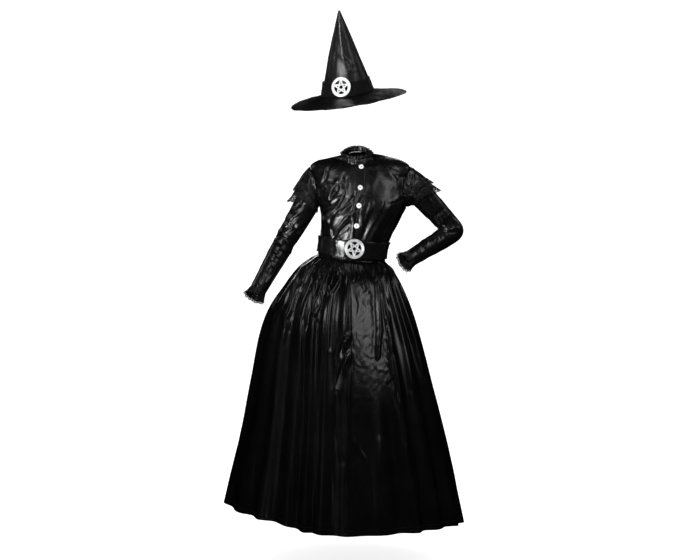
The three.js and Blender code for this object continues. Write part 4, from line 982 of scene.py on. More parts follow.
def tube_faces(paths, radius, sides, loop=False, face=None):
    """Points and faces of round strands. paths holds many strands with the same count of points.

    Where face gives the way the cloth faces at each point, the strands are flattened on it.
    """
    flat = 1 if face is None else 0.45
    paths = np.asarray(paths, float)
    many, count = paths.shape[:2]
    if loop:
        tangent = unit(np.roll(paths, -1, 1) - np.roll(paths, 1, 1))
    else:
        tangent = unit(np.gradient(paths, axis=1))
    across = unit(np.cross(tangent, np.array([0.31, 0.17, 0.93]) if face is None else face))
    other = np.cross(tangent, across) * flat
    radius = np.broadcast_to(np.asarray(radius, float), (many, count))[..., None, None]
    turn = np.arange(sides) / sides * 2 * np.pi
    ring = across[:, :, None] * np.cos(turn)[:, None] + other[:, :, None] * np.sin(turn)[:, None]
    points = (paths[:, :, None] + ring * radius).reshape(-1, 3)
    index = np.arange(many * count * sides).reshape(many, count, sides)
    low = index if loop else index[:, :-1]
    high = np.roll(index, -1, 1) if loop else index[:, 1:]
    faces = [
        np.stack([low, np.roll(low, -1, 2), np.roll(high, -1, 2), high], -1).reshape(-1, 4)
    ]
    if not loop:
        start = index[:, 0, ::-1]
        end = index[:, -1]
        faces += [start.reshape(-1, sides), end.reshape(-1, sides)]
    return points, faces


def joined(name, parts, material):
    """One object from several lists of points and faces."""
    points, groups, done = [], [], 0
    for p, faces in parts:
        points.append(p)
        groups += [f + done for f in faces]
        done += len(p)
    return make_object(name, np.concatenate(points), groups, material)


def worn(obj, slot, *nodes):
    """Sets a finished piece on the costume in place of its solids."""
    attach(obj, "root")
    if nodes:
        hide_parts(*nodes)
    return obj


# Materials


def nodes_of(name):
    material = bpy.data.materials.new(name)
    material.use_nodes = True
    return material, material.node_tree, material.node_tree.nodes["Principled BSDF"]


def set_sockets(node, sockets):
    for key, value in sockets.items():
        node.inputs[key].default_value = value


def add_node(tree, kind, sockets, links, **settings):
    """A node with its settings, the values of its sockets and what is linked to them."""
    node = tree.nodes.new(kind)
    for key, value in settings.items():
        setattr(node, key, value)
    set_sockets(node, sockets)
    for key, source in links.items():
        tree.links.new(source, node.inputs[key])
    return node


def ramp(tree, source, low, high):
    """A colour between two colours, by the middle values of a noise."""
    node = add_node(tree, "ShaderNodeValToRGB", {}, {"Fac": source})
    start, end = node.color_ramp.elements
    start.position, end.position = 0.35, 0.65
    start.color, end.color = (*low, 1), (*high, 1)
    return node.outputs["Color"]


def span(tree, source, low, high):
    """A number between two numbers, by the middle values of a noise."""
    sockets = {"From Min": 0.3, "From Max": 0.7, "To Min": low, "To Max": high}
    return add_node(tree, "ShaderNodeMapRange", sockets, {"Value": source}).outputs["Result"]


def noise(tree, coordinates, scale, detail=3, rough=0.55, stretch=None, distort=0.0):
    """A noise in metres; stretch squeezes it along the axes."""
    if stretch:
        mapping = add_node(tree, "ShaderNodeMapping", {"Scale": stretch}, {"Vector": coordinates})
        coordinates = mapping.outputs["Vector"]
    sockets = {"Scale": scale, "Detail": detail, "Roughness": rough, "Distortion": distort}
    return add_node(tree, "ShaderNodeTexNoise", sockets, {"Vector": coordinates}).outputs["Fac"]


def weave(tree, coordinates):
    """Height of a plain weave: warp times weft."""
    pitch = 0.00035
    sockets = {"Scale": 0.05 / pitch * 2 * math.pi, "Distortion": 0.4, "Detail": 0}
    warp, weft = (
        add_node(tree, "ShaderNodeTexWave", sockets, {"Vector": coordinates},
                 wave_type="BANDS", bands_direction=way).outputs["Fac"]
        for way in ("X", "Y")
    )
    product = add_node(tree, "ShaderNodeMath", {}, {0: warp, 1: weft}, operation="MULTIPLY")
    return product.outputs["Value"]


def bumps(tree, shader, heights):
    """Bumps one on the other. Rows are a height, its distance in metres and its strength."""
    last = {}
    for height, distance, strength in heights:
        sockets = {"Distance": distance, "Strength": strength}
        node = add_node(tree, "ShaderNodeBump", sockets, {"Height": height, **last})
        last = {"Normal": node.outputs["Normal"]}
    tree.links.new(last["Normal"], shader.inputs["Normal"])


def cloth_material(name, dark, light, rough, crumple, coat=0.0, coat_rough=0.2, sheen=0.0, specular=0.5,
                   stretch=(1, 1, 1)):
    """Glossy black cloth: colour and gloss vary a little, with crumples, fine crinkle and weave."""
    material, tree, shader = nodes_of(name)
    place = tree.nodes.new("ShaderNodeTexCoord")
    body, flat = place.outputs["Object"], place.outputs["UV"]
    broad = noise(tree, body, 9, 3)
    fine = noise(tree, body, 60, 4, 0.6, stretch, 0.6)
    tiny = noise(tree, body, 420, 3, 0.6)
    tree.links.new(ramp(tree, broad, dark, light), shader.inputs["Base Color"])
    tree.links.new(span(tree, fine, *rough), shader.inputs["Roughness"])
    set_sockets(shader, {
        "Specular IOR Level": specular,
        "Coat Weight": coat,
        "Coat Roughness": coat_rough,
        "Sheen Weight": sheen,
        "Sheen Roughness": 0.4,
    })
    bumps(tree, shader, [
        (noise(tree, body, 24, 4, 0.62, stretch, 1.1), 0.003 * crumple, 0.8),
        (fine, 0.0011 * crumple, 0.8),
        (tiny, 0.00012, 0.6),
        (weave(tree, flat), 0.00004, 0.5),
    ])
    return material


def plain_material(name, dark, light, rough, scale, metal=0.0, depth=0.0001):
    """Thread or plastic with a fine grain; scale sets how many grains there are in a metre."""
    material, tree, shader = nodes_of(name)
    place = tree.nodes.new("ShaderNodeTexCoord").outputs["Object"]
    broad = noise(tree, place, scale / 6, 4)
    fine = noise(tree, place, scale, 4)
    tree.links.new(ramp(tree, broad, dark, light), shader.inputs["Base Color"])
    tree.links.new(span(tree, fine, *rough), shader.inputs["Roughness"])
    set_sockets(shader, {"Metallic": metal})
    bumps(tree, shader, [(fine, depth, 0.6)])
    return material


BODICE = cloth_material(
    "wet_look_cloth", (0.002, 0.002, 0.0022), (0.0035, 0.0035, 0.0038), (0.25, 0.33), 0.055,
    coat=0.25, coat_rough=0.22,
)
SATIN = cloth_material(
    "crinkled_satin", (0.0015, 0.0015, 0.0017), (0.003, 0.003, 0.0033), (0.2, 0.27), 0.04,
    coat=0.2, coat_rough=0.18, stretch=(1, 1, 0.55),
)
HAT_SATIN = cloth_material(
    "hat_satin", (0.0025, 0.0025, 0.0027), (0.0045, 0.0045, 0.0048), (0.32, 0.42), 0.16,
    stretch=(1, 1, 0.6),
)
BELT = cloth_material(
    "belt_cloth", (0.003, 0.003, 0.0033), (0.006, 0.006, 0.0065), (0.18, 0.28), 0.08,
    coat=0.5, coat_rough=0.12,
)
VELVET = cloth_material(
    "band_velvet", (0.001, 0.001, 0.001), (0.003, 0.003, 0.003), (0.6, 0.8), 0.5,
    sheen=0.05, specular=0.15,
)
THREAD = plain_material("lace_thread", (0.002, 0.002, 0.002), (0.005, 0.005, 0.005), (0.4, 0.55), 900)
STITCH = plain_material(
    "sewing_thread", (0.004, 0.004, 0.0044), (0.009, 0.009, 0.0095), (0.4, 0.55), 900
)
PALE_STITCH = plain_material("belt_thread", (0.35, 0.35, 0.37), (0.6, 0.6, 0.62), (0.4, 0.6), 900)
SILVER = plain_material(
    "silver_plastic", (0.57, 0.58, 0.59), (0.74, 0.74, 0.75), (0.26, 0.38), 260, 0.35, 0.0002
)
BUTTON = plain_material("white_button", (0.80, 0.80, 0.78), (0.9, 0.9, 0.88), (0.16, 0.26), 160)
HOLE = plain_material("button_thread", (0.02, 0.02, 0.022), (0.05, 0.05, 0.055), (0.5, 0.7), 700)

# Bodice


def bodice_rows(step):
    """Rows up the bodice: s, and how far the armhole takes the side away, in degrees."""
    low = np.linspace(SEAM, ARMPIT_S, int(ARMPIT_S / step))[:-1]
    around = np.linspace(0, 180, int(170 / step))
    high = np.linspace(SHOULDER_S, NECK_S - NECK_SEAM, int(128 / step))[1:]
    s = np.concatenate([low, armhole_s(around), high])
    opening = ARMHOLE_HALF * sind(around)
    return s, np.concatenate([low * 0, opening, high * 0])


def bodice_lift(grid, angle, s):
    """Creases of the bodice at a grid of its points."""
    ahead = frontal(normals(grid, False), 0.1)
    x, y = seen_at(grid)
    wrapped = np.where(angle < -90, angle + 360, angle)
    across = np.radians(wrapped) * FORM_RADIUS
    lift = line_lift(x, y, BODICE_LINES, PIXEL) * ahead
    for turn in (0, 2 * np.pi * FORM_RADIUS):
        lift += line_lift(across + turn, s, BODICE_HIDDEN, 1.0) * (1 - ahead)
    lift += 0.3 * smooth_noise(across, s * 0.7, 3, 46) + 0.08 * smooth_noise(across, s, 4, 19)
    hold = ease((NECK_S - s) / 16) * ease(s / 8)
    return lift * hold


def bodice_panel(name, low, high, columns, step, node):
    """low and high give the edges in degrees from how far the armhole is open at a row."""
    s, opening = bodice_rows(step)
    edge = np.degrees(SEAM / torso_ring(s)["half"])
    share = np.linspace(0, 1, columns)
    angle = mix(low(edge, opening)[:, None], high(edge, opening)[:, None], share)
    s = np.broadcast_to(s[:, None], angle.shape)
    grid = torso(angle, s)
    grid = raised(grid, bodice_lift(grid, angle, s))
    obj = worn(shell(name, grid, BODICE), "bodice_cloth", node)
    return obj


bodice_panel("bodice_front_right_cloth", lambda e, o: -(90 - e - o), lambda e, o: -e, 80, 3.2,
             "bodice_front_right")
bodice_panel("bodice_front_left_cloth", lambda e, o: e, lambda e, o: 90 - e - o, 80, 3.2,
             "bodice_front_left")
bodice_panel("bodice_back_cloth", lambda e, o: 90 + e + o, lambda e, o: 270 - e - o, 96, 4.8,
             "bodice_back")

# Button band
band_s = bodice_rows(2.7)[0]
band_s[-1] = NECK_S - PLACKET_END
band_half = np.degrees(PLACKET_WIDTH / 2 / torso_ring(band_s)["half"])
band_across = np.linspace(-1, 1, 17)
band_angle = band_half[:, None] * band_across
band_s = np.broadcast_to(band_s[:, None], band_angle.shape)
band_grid = torso(band_angle, band_s)
band_grid = raised(band_grid, bodice_lift(band_grid, band_angle, band_s) + 0.35 * (1 - band_across**8))
placket = worn(shell("placket_cloth", band_grid, BODICE, 1.5, LAYER - 0.2), "bodice_cloth", "placket")


def stitches(name, line, normal, length, gap, radius, material):
    """A row of sewn stitches along a line of points."""
    steps = np.linalg.norm(np.diff(line, axis=0), axis=1)
    at = np.concatenate([[0], np.cumsum(steps)])
    starts = np.arange(gap, at[-1] - length - gap, length + gap)
    where = starts[:, None] + np.linspace(0, length, 4)

    def along(values):
        return np.stack([np.interp(where, at, values[:, k]) for k in range(3)], -1)

    arch = np.array([-0.5, 0.7, 0.7, -0.5]) * radius
    paths = along(line) + unit(along(normal)) * arch[:, None]
    points, faces = tube_faces(paths, radius * np.array([0.6, 1, 1, 0.6]), 4)
    return joined(name, [(points, faces)], material)


band_normal = normals(band_grid, False)
band_face = band_grid + band_normal * (LAYER + 0.62)
for side, column in (("right", 2), ("left", 14)):
    line, facing = band_face[:, column], band_normal[:, column]
    worn(stitches(f"placket_stitches_{side}", line, facing, 2.4, 0.9, 0.28, STITCH), "bodice_cloth")


# Collar, with small gathers
collar_angle = np.linspace(0.6, 359.4, 230)[None, :]
collar_v = np.linspace(COLLAR_LIFT, COLLAR_HEIGHT, 14)[:, None]
collar_turn = np.radians(collar_angle)
pleats = 0.55 * np.cos(collar_turn * 31 + 1.6 * np.sin(collar_turn * 5))
pleats = pleats + 0.35 * np.cos(collar_turn * 47 + 2)
rolled = 0.9 * np.cos(collar_v / COLLAR_HEIGHT * 4 * np.pi) * np.sin(collar_turn * 3 + 1)
collar_lift = pleats * ease((collar_v - 2) / 8) + rolled * 0.5
collar_grid = raised(collar(*arrays(collar_angle, collar_v)), collar_lift)
collar_cloth = worn(shell("collar_cloth", collar_grid, BODICE, 1.4), "bodice_cloth", "collar_band")

# Sleeves and their caps
SLEEVE_TURN = 0.7  # millimetres on the sleeve for each degree round it


def sleeve_creases(name, grid, around, at, facing):
    """How far the creases of a sleeve move its cloth out."""
    ahead = frontal(facing)
    x, y = seen_at(grid)
    lift = line_lift(x, y, SLEEVE_LINES[name], PIXEL) * ahead
    for turn in (0, 360):
        lift += line_lift((around + turn) * SLEEVE_TURN, at, SLEEVE_HIDDEN[name], 1.0) * (1 - ahead)
    lift += 0.45 * smooth_noise(around * SLEEVE_TURN, at, 11, 44) * sind(around / 2) ** 2
    return lift * ease(at / 40) * ease((LINES[name]["length"] - at) / 14)


for name, line in LINES.items():
    side = line["side"]
    around, at = np.meshgrid(np.linspace(0, 360, 81), np.linspace(0.2, line["length"], 150))
    grid = sleeve(name, around, at)
    facing = normals(grid, True) * -side
    grid = raised(grid, sleeve_creases(name, grid, around, at, facing), True, -side)
    obj = worn(shell(f"sleeve_{name}_cloth", grid, BODICE, closed=True, outward=-side),
               "bodice_cloth", f"sleeve_{name}")

    around, share = np.meshgrid(np.linspace(0, 360, 109), np.linspace(0, 1, 26))
    grid = cap(name, around, share)
    puff = 0.9 * np.cos(np.radians(around) * 17 + 1.2 * np.sin(np.radians(around) * 4))
    lift = puff * outer_share(around) * (1 - share) ** 1.4 * ease(share * 12)
    lift += 1.3 * np.cos(np.radians(around) * 5 + 2 * side) * outer_share(around) * share
    facing = normals(grid, True) * -side
    ahead = frontal(facing) * ease(share * 10) * ease((1 - share) * 8)
    lift += line_lift(*seen_at(grid), CAP_LINES[name], PIXEL) * ahead
    grid = raised(grid, lift, True, -side)
    obj = worn(shell(f"cap_sleeve_{name}_cloth", grid, BODICE, closed=True, outward=-side),
               "bodice_cloth", f"cap_sleeve_{name}")


# Lace

LACE_RINGS = ((0.34, 0.0), (0.62, 0.5))  # height of a row of rings, and its shift in scallops


def lace(name, surface, length, height, scallop=8.5, closed=True, rings=LACE_RINGS, solid=0.2, outward=1):
    """A lace ruffle on a surface of turns, 0 to 1, and t, from its sewn edge, 0, to its free edge, 1.

    length and height are its cut, and solid the share of its height that has close cloth behind it.
    """

    def place(a, t):
        a, t = arrays(a, t)
        return surface(a if closed else np.clip(a, 0, 1), t)

    parts = []

    def strands(a, t, width, loop=False):
        a, t = arrays(a, t)
        along = place(a + 0.002, t) - place(a - 0.002, t)
        up = place(a, t + 0.01) - place(a, t - 0.01)
        face = unit(np.cross(along, up))
        parts.append(tube_faces(place(a, t), width / 2, 4, loop, face))

    across = int(round(length / NET_CELL))
    edge = 1 - 0.2 * min(1, 22 / height)  # where the scallops start
    down = max(3, int(round(edge * height / NET_CELL)))
    strand = np.arange(across)[:, None]
    step = np.arange(down + 1)[None, :]
    for way in (1, -1):
        start = strand if closed or way > 0 else strand + 1
        strands((start + way * step * 0.9) / across, step / down * edge, NET_THREAD)
    count = int(round(length / scallop))
    each = np.arange(count)[:, None]
    turn = np.linspace(0, np.pi, 9)[None, :]
    for size, width in ((1, 1.6), (0.66, 1.2), (0.32, 1.0)):
        a = (each + 0.5 - 0.5 * size * np.cos(turn)) / count
        strands(a, edge + (1 - edge) * size * np.sin(turn), width)
    # Little rings on the net, in rows, and thick wavy threads between them
    ring = np.linspace(0, 2 * np.pi, 8, endpoint=False)[None, :]
    for level, shift in rings:
        for size in (2.1, 1.0):
            a = (each + shift + 0.5) / count + size / length * np.cos(ring)
            strands(a, level + size / height * np.sin(ring), 0.9, True)
    a = np.linspace(0, 1, count * 8 + 1)[None, :]
    for level, width, sway in ((0.48, 0.9, 0.07), (edge, 1.1, 0.0), (0.2, 0.8, 0.05)):
        strands(a, level + sway * np.sin(a * count * 2 * np.pi), width)
    obj = joined(f"{name}_net", parts, THREAD)
    down = 2 + int(solid * height / 2)
    behind = np.meshgrid(np.linspace(0, 1, int(length / 4)), np.linspace(0, solid, down))
    header = shell(f"{name}_header", place(*behind), THREAD, 0.9, closed=closed, outward=outward)
    worn(header, "lace")
    worn(obj, "lace", name)


lace("collar_lace", lambda a, t: collar_ruffle(mix(1.2, 358.8, a), t), 352, 14,
     closed=False, scallop=7, rings=(), solid=0.7)
for name, line in LINES.items():
    out = -line["side"]
    lace(f"cap_lace_lower_{name}", lambda a, t, n=name: lower_lace(n, a * 360, t), 430, 30, outward=out)
    lace(f"cap_lace_upper_{name}", lambda a, t, n=name: upper_lace(n, mix(UPPER_FROM, UPPER_TO, a), t),
         262, 22, closed=False, outward=out)
    lace(f"cuff_lace_{name}", lambda a, t, n=name: cuff_lace(n, a * 360, t), 262, 29,
         solid=0.8, outward=out)

# Skirt


def skirt_lift(grid, fold, z, facing):
    """Creases of the skirt at a grid of its points."""
    ahead = frontal(facing, 0.05, 0.25)
    x, y = seen_at(grid)
    lift = line_lift(x, y, SKIRT_LINES, PIXEL) * ahead
    radius = skirt_ring(z)["half"]
    for start, top, end, low, width, height in SKIRT_HIDDEN:
        share = np.clip((top - z) / (top - low), -0.3, 1.3)
        middle = mix(start, end, np.clip(share, 0, 1))
        across = (fold - middle) * radius * 2 * np.pi / len(RIDGES)
        fade = ease((share + 0.06) * 5) * ease((1.04 - share) * 3)
        lift += height * bell(across, width * mix(0.8, 1.5, np.clip(share, 0, 1))) * fade * (1 - ahead)
    around = fold * radius * 2 * np.pi / len(RIDGES)
    lift += 1.6 * smooth_noise(fold * 95, z * 0.4, 21, 150) * ease((-380 - z) / 120)
    lift += 0.14 * smooth_noise(fold * 80, z * 0.5, 22, 60) * ease((-370 - z) / 60)
    crumpled = bell(fold - 7, 0.9) * ease((z + 900) / 160) * ease((-400 - z) / 60)
    lift += 0.26 * smooth_noise(around, z, 23, 34) * crumpled
    lift += 0.15 * smooth_noise(around, z, 24, 15) * crumpled
    return lift * ease((-344 - z) / 12)


HEM_ROW = 3  # the row of a panel's grid that its hem stitches follow


def skirt_panel(name, start, end, across, step):
    """A skirt panel between two folds; gives back the line of its hem stitches and the way it faces."""
    z = np.concatenate([
        np.linspace(-336.8, -440, int(104 / (step * 0.6))),
        np.linspace(-440, HEM_Z, int(800 / step))[1:],
    ])[::-1]
    gap = SKIRT_SEAM / (skirt_ring(z)["half"] * math.radians(10))
    fold = mix((start + gap)[:, None], (end - gap)[:, None], np.linspace(0, 1, across))
    z = np.broadcast_to(z[:, None], fold.shape)
    grid = skirt(fold, z)
    facing = normals(grid, False)
    grid = raised(grid, skirt_lift(grid, fold, z, facing))
    obj = worn(shell(f"{name}_cloth", grid, SATIN), "skirt_satin", name)
    return grid[HEM_ROW] + facing[HEM_ROW] * (SKIN / 2 + 0.05), facing[HEM_ROW]


hems = {
    "front_right": skirt_panel("skirt_front_right", 0, FRONT_SEAM, 156, 5.6),
    "front_left": skirt_panel(
        "skirt_front_left", FRONT_SEAM, LEFT_SIDE_SEAM, 130, 5.6
    ),
    "back": skirt_panel("skirt_back", LEFT_SIDE_SEAM, len(RIDGES), 176, 7),
}
for name, (line, facing) in hems.items():
    worn(stitches(f"hem_stitches_{name}", line, facing, 3.2, 1.6, 0.32, STITCH), "skirt_satin")

# Belt


def belt_point(angle, s):
    return torso(angle, s, False)


angle, s = np.meshgrid(np.linspace(-90, 270, 241), np.linspace(BELT_LOW, BELT_TOP, 27))
grid = belt_point(angle, s)
share = (s - BELT_LOW) / (BELT_TOP - BELT_LOW)
lift = 0.5 * smooth_noise(angle * 2, s * 2.4, 31, 60)
lift += 0.4 * bell(share - 0.06, 0.05) + 0.4 * bell(share - 0.94, 0.05)
lift += line_lift(*seen_at(grid), BELT_LINES, PIXEL) * (np.abs(angle) < 85)
grid = raised(grid, lift, True)
belt = worn(shell("belt_cloth", grid, BELT, BELT_THICK - 0.6, BELT_CLEAR + BELT_THICK / 2, closed=True),
            "belt", "belt")
belt_normal = normals(grid, True)
belt_face = grid + belt_normal * (BELT_CLEAR + BELT_THICK - 0.3)
for row, label in ((2, "low"), (24, "high")):
    name = f"belt_stitches_{label}"
    worn(stitches(name, belt_face[row], belt_normal[row], 2.8, 1.2, 0.28, STITCH), "belt")

angle, s = np.meshgrid(np.linspace(-27, -9, 34), np.linspace(BELT_LOW + 3, BELT_TOP - 3, 40))
grid = belt_point(angle, s)
grid = raised(grid, line_lift(*seen_at(grid), TAB_LINES, PIXEL))
tab_normal = normals(grid, False)
tab_lift = BELT_CLEAR + BELT_THICK + 0.49 + 0.8
belt_tab = worn(shell("belt_tab_cloth", grid, BELT, 1.5, tab_lift), "belt", "belt_tab")
line = (grid + tab_normal * (tab_lift + 0.85))[-4]
worn(stitches("belt_tab_stitches", line, tab_normal[-4], 2.6, 1.2, 0.42, PALE_STITCH), "belt")


# Buckles and buttons


def lathe(profile, sides):
    """Points and faces of a turned ring. profile rows are radius and height, round the section."""
    profile = np.array(profile, float)
    turn = np.arange(sides) / sides * 2 * np.pi
    points = np.stack(
        [
            profile[:, 0] * np.cos(turn)[:, None],
            profile[:, 0] * np.sin(turn)[:, None],
            np.broadcast_to(profile[:, 1], (sides, len(profile))),
        ],
        -1,
    )
    index = np.arange(sides * len(profile)).reshape(sides, -1)
    a, b = index, np.roll(index, -1, 0)
    c, d = np.roll(b, -1, 1), np.roll(a, -1, 1)
    return points.reshape(-1, 3), [np.stack([a, b, c, d], -1).reshape(-1, 4)]


BAR_SECTION = [
    (-0.5, 0), (-0.5, 0.45), (-0.36, 0.8), (-0.12, 1), (0.12, 1), (0.36, 0.8), (0.5, 0.45), (0.5, 0),
]


def bar(a, b, base, rise):
    """A straight bar of the star with a domed top from a to b, as points and faces."""
    a, b = np.array(a, float), np.array(b, float)
    along = unit(b - a)
    across = np.array([-along[1], along[0]]) * STAR_BAR
    rows = []
    for share in np.linspace(0, 1, 24):
        middle = mix(a, b, share)
        over = 0.35 * np.sin(share * 3 * np.pi)  # over one bar and under the next
        rows.append([(*(middle + across * x), base + rise * y + over) for x, y in BAR_SECTION])
    points = np.array(rows)
    index = np.arange(points.shape[0] * points.shape[1]).reshape(points.shape[:2])
    after = np.roll(index, -1, 1)
    faces = np.stack([index[:-1], index[1:], after[1:], after[:-1]], -1).reshape(-1, 4)
    return points.reshape(-1, 3), [faces, index[0][None, :], index[-1][None, ::-1]]


def seat_on(surface, u, v):
    """A place on a surface, and its ways across, up and out."""
    u, v = np.array(float(u)), np.array(float(v))
    normal = sheet_normal(surface, u, v)
    across = unit(np.cross([0, 0, 1.0], normal))
    return surface(u, v), np.stack([across, np.cross(normal, across), normal])


def stay(p):
    return p


def buckle(name, seat, basis, lift, first, node, move=stay):
    """A round buckle with a star; first is the angle of the star's first point."""
    outer, inner = BUCKLE_RADIUS, BUCKLE_RADIUS - BUCKLE_RIM
    rim = [(inner, 0.1), (outer - 0.9, 0.1), (outer, 0.9), (outer - 0.3, 1.9), (outer - 1.2, 2.7),
           (outer - 2.2, 2.95), (outer - 3.0, 2.5), (outer - 3.6, 2.3), (outer - 4.4, 2.55),
           (outer - 5.6, 2.8), (inner + 4.0, 2.8), (inner + 2.9, 2.5), (inner + 2.3, 2.3),
           (inner + 1.8, 2.6), (inner + 1.1, 2.75), (inner + 0.4, 2.4), (inner, 1.6)]
    reach = inner + 2.0
    turn = [math.radians(first + 72 * i) for i in range(5)]
    tips = [(math.cos(a) * reach, math.sin(a) * reach) for a in turn]
    parts = [lathe(rim, 128)] + [bar(tips[i], tips[(i + 2) % 5], 0.5, 1.7) for i in range(5)]
    parts = [(move(p @ basis + seat + basis[2] * lift), faces) for p, faces in parts]
    worn(joined(name, parts, SILVER), "silver", node)


seat, basis = seat_on(belt_point, -0.5, 30)
buckle("belt_buckle_star", seat, basis, BELT_CLEAR + BELT_THICK + 2.3, -93, "belt_buckle")

r = BUTTON_RADIUS
BUTTON_PROFILE = [
    (0.01, 0.2), (r - 1.8, 0.2), (r - 0.4, 0.7), (r, 1.4), (r - 0.2, 2.2), (r - 0.9, 2.85), (r - 1.8, 3.0),
    (r - 2.8, 2.75), (r - 3.7, 2.3), (r - 4.6, 2.15), (2.6, 2.1), (0.01, 2.05),
]
BUTTON_HOLES = [(1.2, 1.2), (-1.2, 1.2), (-1.2, -1.2), (1.2, -1.2)]
for i, s in enumerate(BUTTON_S):
    seat, basis = seat_on(torso, BUTTON_TURN, s)
    base = seat + basis[2] * (CLOTH * 1.5 + LAYER_GAP * 2)
    points, faces = lathe(BUTTON_PROFILE, 48)
    disc = joined(f"button_{i + 1}_disc", [(points @ basis + base, faces)], BUTTON)
    worn(disc, "button", f"button_{i + 1}")
    parts = []
    for a, b in ((0, 2), (1, 3)):
        x, y = np.linspace(BUTTON_HOLES[a], BUTTON_HOLES[b], 7).T
        z = 2.2 + 0.5 * np.sin(np.linspace(0, np.pi, 7))
        parts.append(tube_faces(np.stack([x, y, z], -1)[None], 0.6, 6))
    for x, y in BUTTON_HOLES:
        parts.append(tube_faces([[(x, y, 2.02), (x, y, 2.2)]], 1.0, 10))
    parts = [(p @ basis + base, f) for p, f in parts]
    worn(joined(f"button_{i + 1}_thread", parts, HOLE), "button")

# Hat
HAT_PLACE = np.array([-38.0, -22, 222])
HAT_PITCH, HAT_ROLL = math.radians(16.5), math.radians(-6.8)
HAT_WALL = 2.6
HAT_HEIGHT = 287
CROWN_TOP = 282
BRIM_IN, BRIM_OUT = 87, 203
crown_radius = track(
    ("z", "r"), [(0, 90), (26, 83), (52, 76.5), (100, 62), (160, 44), (230, 20.5), (CROWN_TOP, 3.4)]
)
brim_sway = track(
    ("angle", "up"),
    [(0, 3), (45, 8), (90, 3), (135, 0), (180, -3), (225, -1), (270, -5), (315, -1), (360, 3)],
)
pitch_cos, pitch_sin = math.cos(HAT_PITCH), math.sin(HAT_PITCH)
roll_cos, roll_sin = math.cos(HAT_ROLL), math.sin(HAT_ROLL)
HAT_TURN = np.array([[1, 0, 0], [0, pitch_cos, -pitch_sin], [0, pitch_sin, pitch_cos]]) @ np.array(
    [[roll_cos, 0, roll_sin], [0, 1, 0], [-roll_sin, 0, roll_cos]]
)


def hat_at(p):
    """From the hat's own upright frame to its place."""
    return p @ HAT_TURN.T + HAT_PLACE


def crown(angle, z):
    r = crown_radius(z)["r"]
    turn = np.radians(angle)
    dent = 1.6 * bell(z - 120, 60) * cosd((angle - 40) * 3)
    bend = 3 * (z / HAT_HEIGHT) ** 2
    return np.stack([bend + (r + dent) * np.sin(turn), -(r * 1.04 + dent) * np.cos(turn), z + 0 * r], -1)


def brim(angle, r):
    share = np.maximum(0, (r - BRIM_IN) / (BRIM_OUT - BRIM_IN))
    z = -20 * share**1.15 + brim_sway(np.mod(angle, 360))["up"] * share
    turn = np.radians(angle)
    return np.stack([r * np.sin(turn), -r * 1.02 * np.cos(turn), z], -1)


z = np.concatenate([np.linspace(0.6, 270, 70), [276, 280, CROWN_TOP]])
angle, z = np.meshgrid(np.linspace(0, 360, 121), z)
grid = crown(angle, z)
placed = hat_at(grid)
ahead = ease(-normals(placed, True)[..., 1] * 3)
lift = line_lift(*seen_at(placed), CROWN_LINES, PIXEL) * ahead
across, depth = sind(angle) * 80, cosd(angle)
lift += 0.4 * smooth_noise(across, z + depth * 60, 41, 60)
lift += 0.12 * smooth_noise(across, z + depth * 70, 42, 18)
grid = raised(grid, lift * ease((CROWN_TOP - z) / 60), True)
tip = np.broadcast_to(np.array([3.0, 0, HAT_HEIGHT - 0.6]), grid[:1].shape)
grid = np.concatenate([grid, mix(grid[-1:], tip, 0.72)])
crown_cloth = worn(shell("hat_crown_cloth", hat_at(grid), HAT_SATIN, 2.2, closed=True),
                   "hat_satin", "hat_crown")

r = np.concatenate([np.linspace(BRIM_IN, 198, 30), [200, 201.6, BRIM_OUT]])
angle, r = np.meshgrid(np.linspace(0, 360, 181), r)
grid = brim(angle, r)
x, y = grid[..., 0], grid[..., 1]
lift = (0.9 * smooth_noise(x, y, 51, 90) + 0.3 * smooth_noise(x, y, 52, 24)) * ease((r - BRIM_IN) / 12)
grid = raised(grid, lift, True, -1)
brim_cloth = worn(shell("hat_brim_cloth", hat_at(grid), HAT_SATIN, 2.4, closed=True, outward=-1),
                  "hat_satin", "hat_brim")
brim_normal = -normals(grid, True)
for row in (27, 21):
    line = hat_at(grid[row] + brim_normal[row] * 1.25)
    facing = brim_normal[row] @ HAT_TURN.T
    worn(stitches(f"brim_stitches_{row}", line, facing, 3, 1.4, 0.28, STITCH), "hat_satin")
binding = hat_at(grid[-2])[:-1][None]
worn(joined("hat_brim_binding", [tube_faces(binding, 1.9, 8, loop=True)], HAT_SATIN), "hat_satin")


def hat_band(angle, z):
    on = crown(angle, z)
    normal = sheet_normal(crown, angle, z)
    loose = 0.4 + 1.6 * (1 - sind(angle))
    return on + normal * (HAT_WALL / 2 + 1 + loose)[..., None]


angle, z = np.meshgrid(np.linspace(0, 360, 161), np.linspace(3.6, 49, 18))
lift = 0.6 * smooth_noise(angle * 1.4, z * 1.6, 61, 46) * sind(angle / 2) ** 0.5
grid = raised(hat_band(angle, z), lift, True)
band_cloth = worn(shell("hat_band_cloth", hat_at(grid), VELVET, 1.8, closed=True), "hat_band", "hat_band")
seat, basis = seat_on(crown, -13, 35)
buckle("hat_buckle_star", seat, basis, HAT_WALL / 2 + 2 + 3.4, 90, "hat_buckle", hat_at)

# Stage: a pale floor that rises into a plain round wall, soft light boxes and the camera
FLOOR_Z = -1405
WALL_BEND = 1500
WALL_FOOT = 5500
WALL_TOP = 9000


def stage_material():
    material, tree, shader = nodes_of("pale_floor")
    place = tree.nodes.new("ShaderNodeTexCoord").outputs["Object"]
    tone = noise(tree, place, 3, 2)
    tree.links.new(ramp(tree, tone, (0.86, 0.86, 0.86), (0.9, 0.9, 0.9)), shader.inputs["Base Color"])
    set_sockets(shader, {
        "Roughness": 0.9,
        "Specular IOR Level": 0.1,
        "Emission Color": (1, 1, 1, 1),
        "Emission Strength": 0.8,
    })
    return material


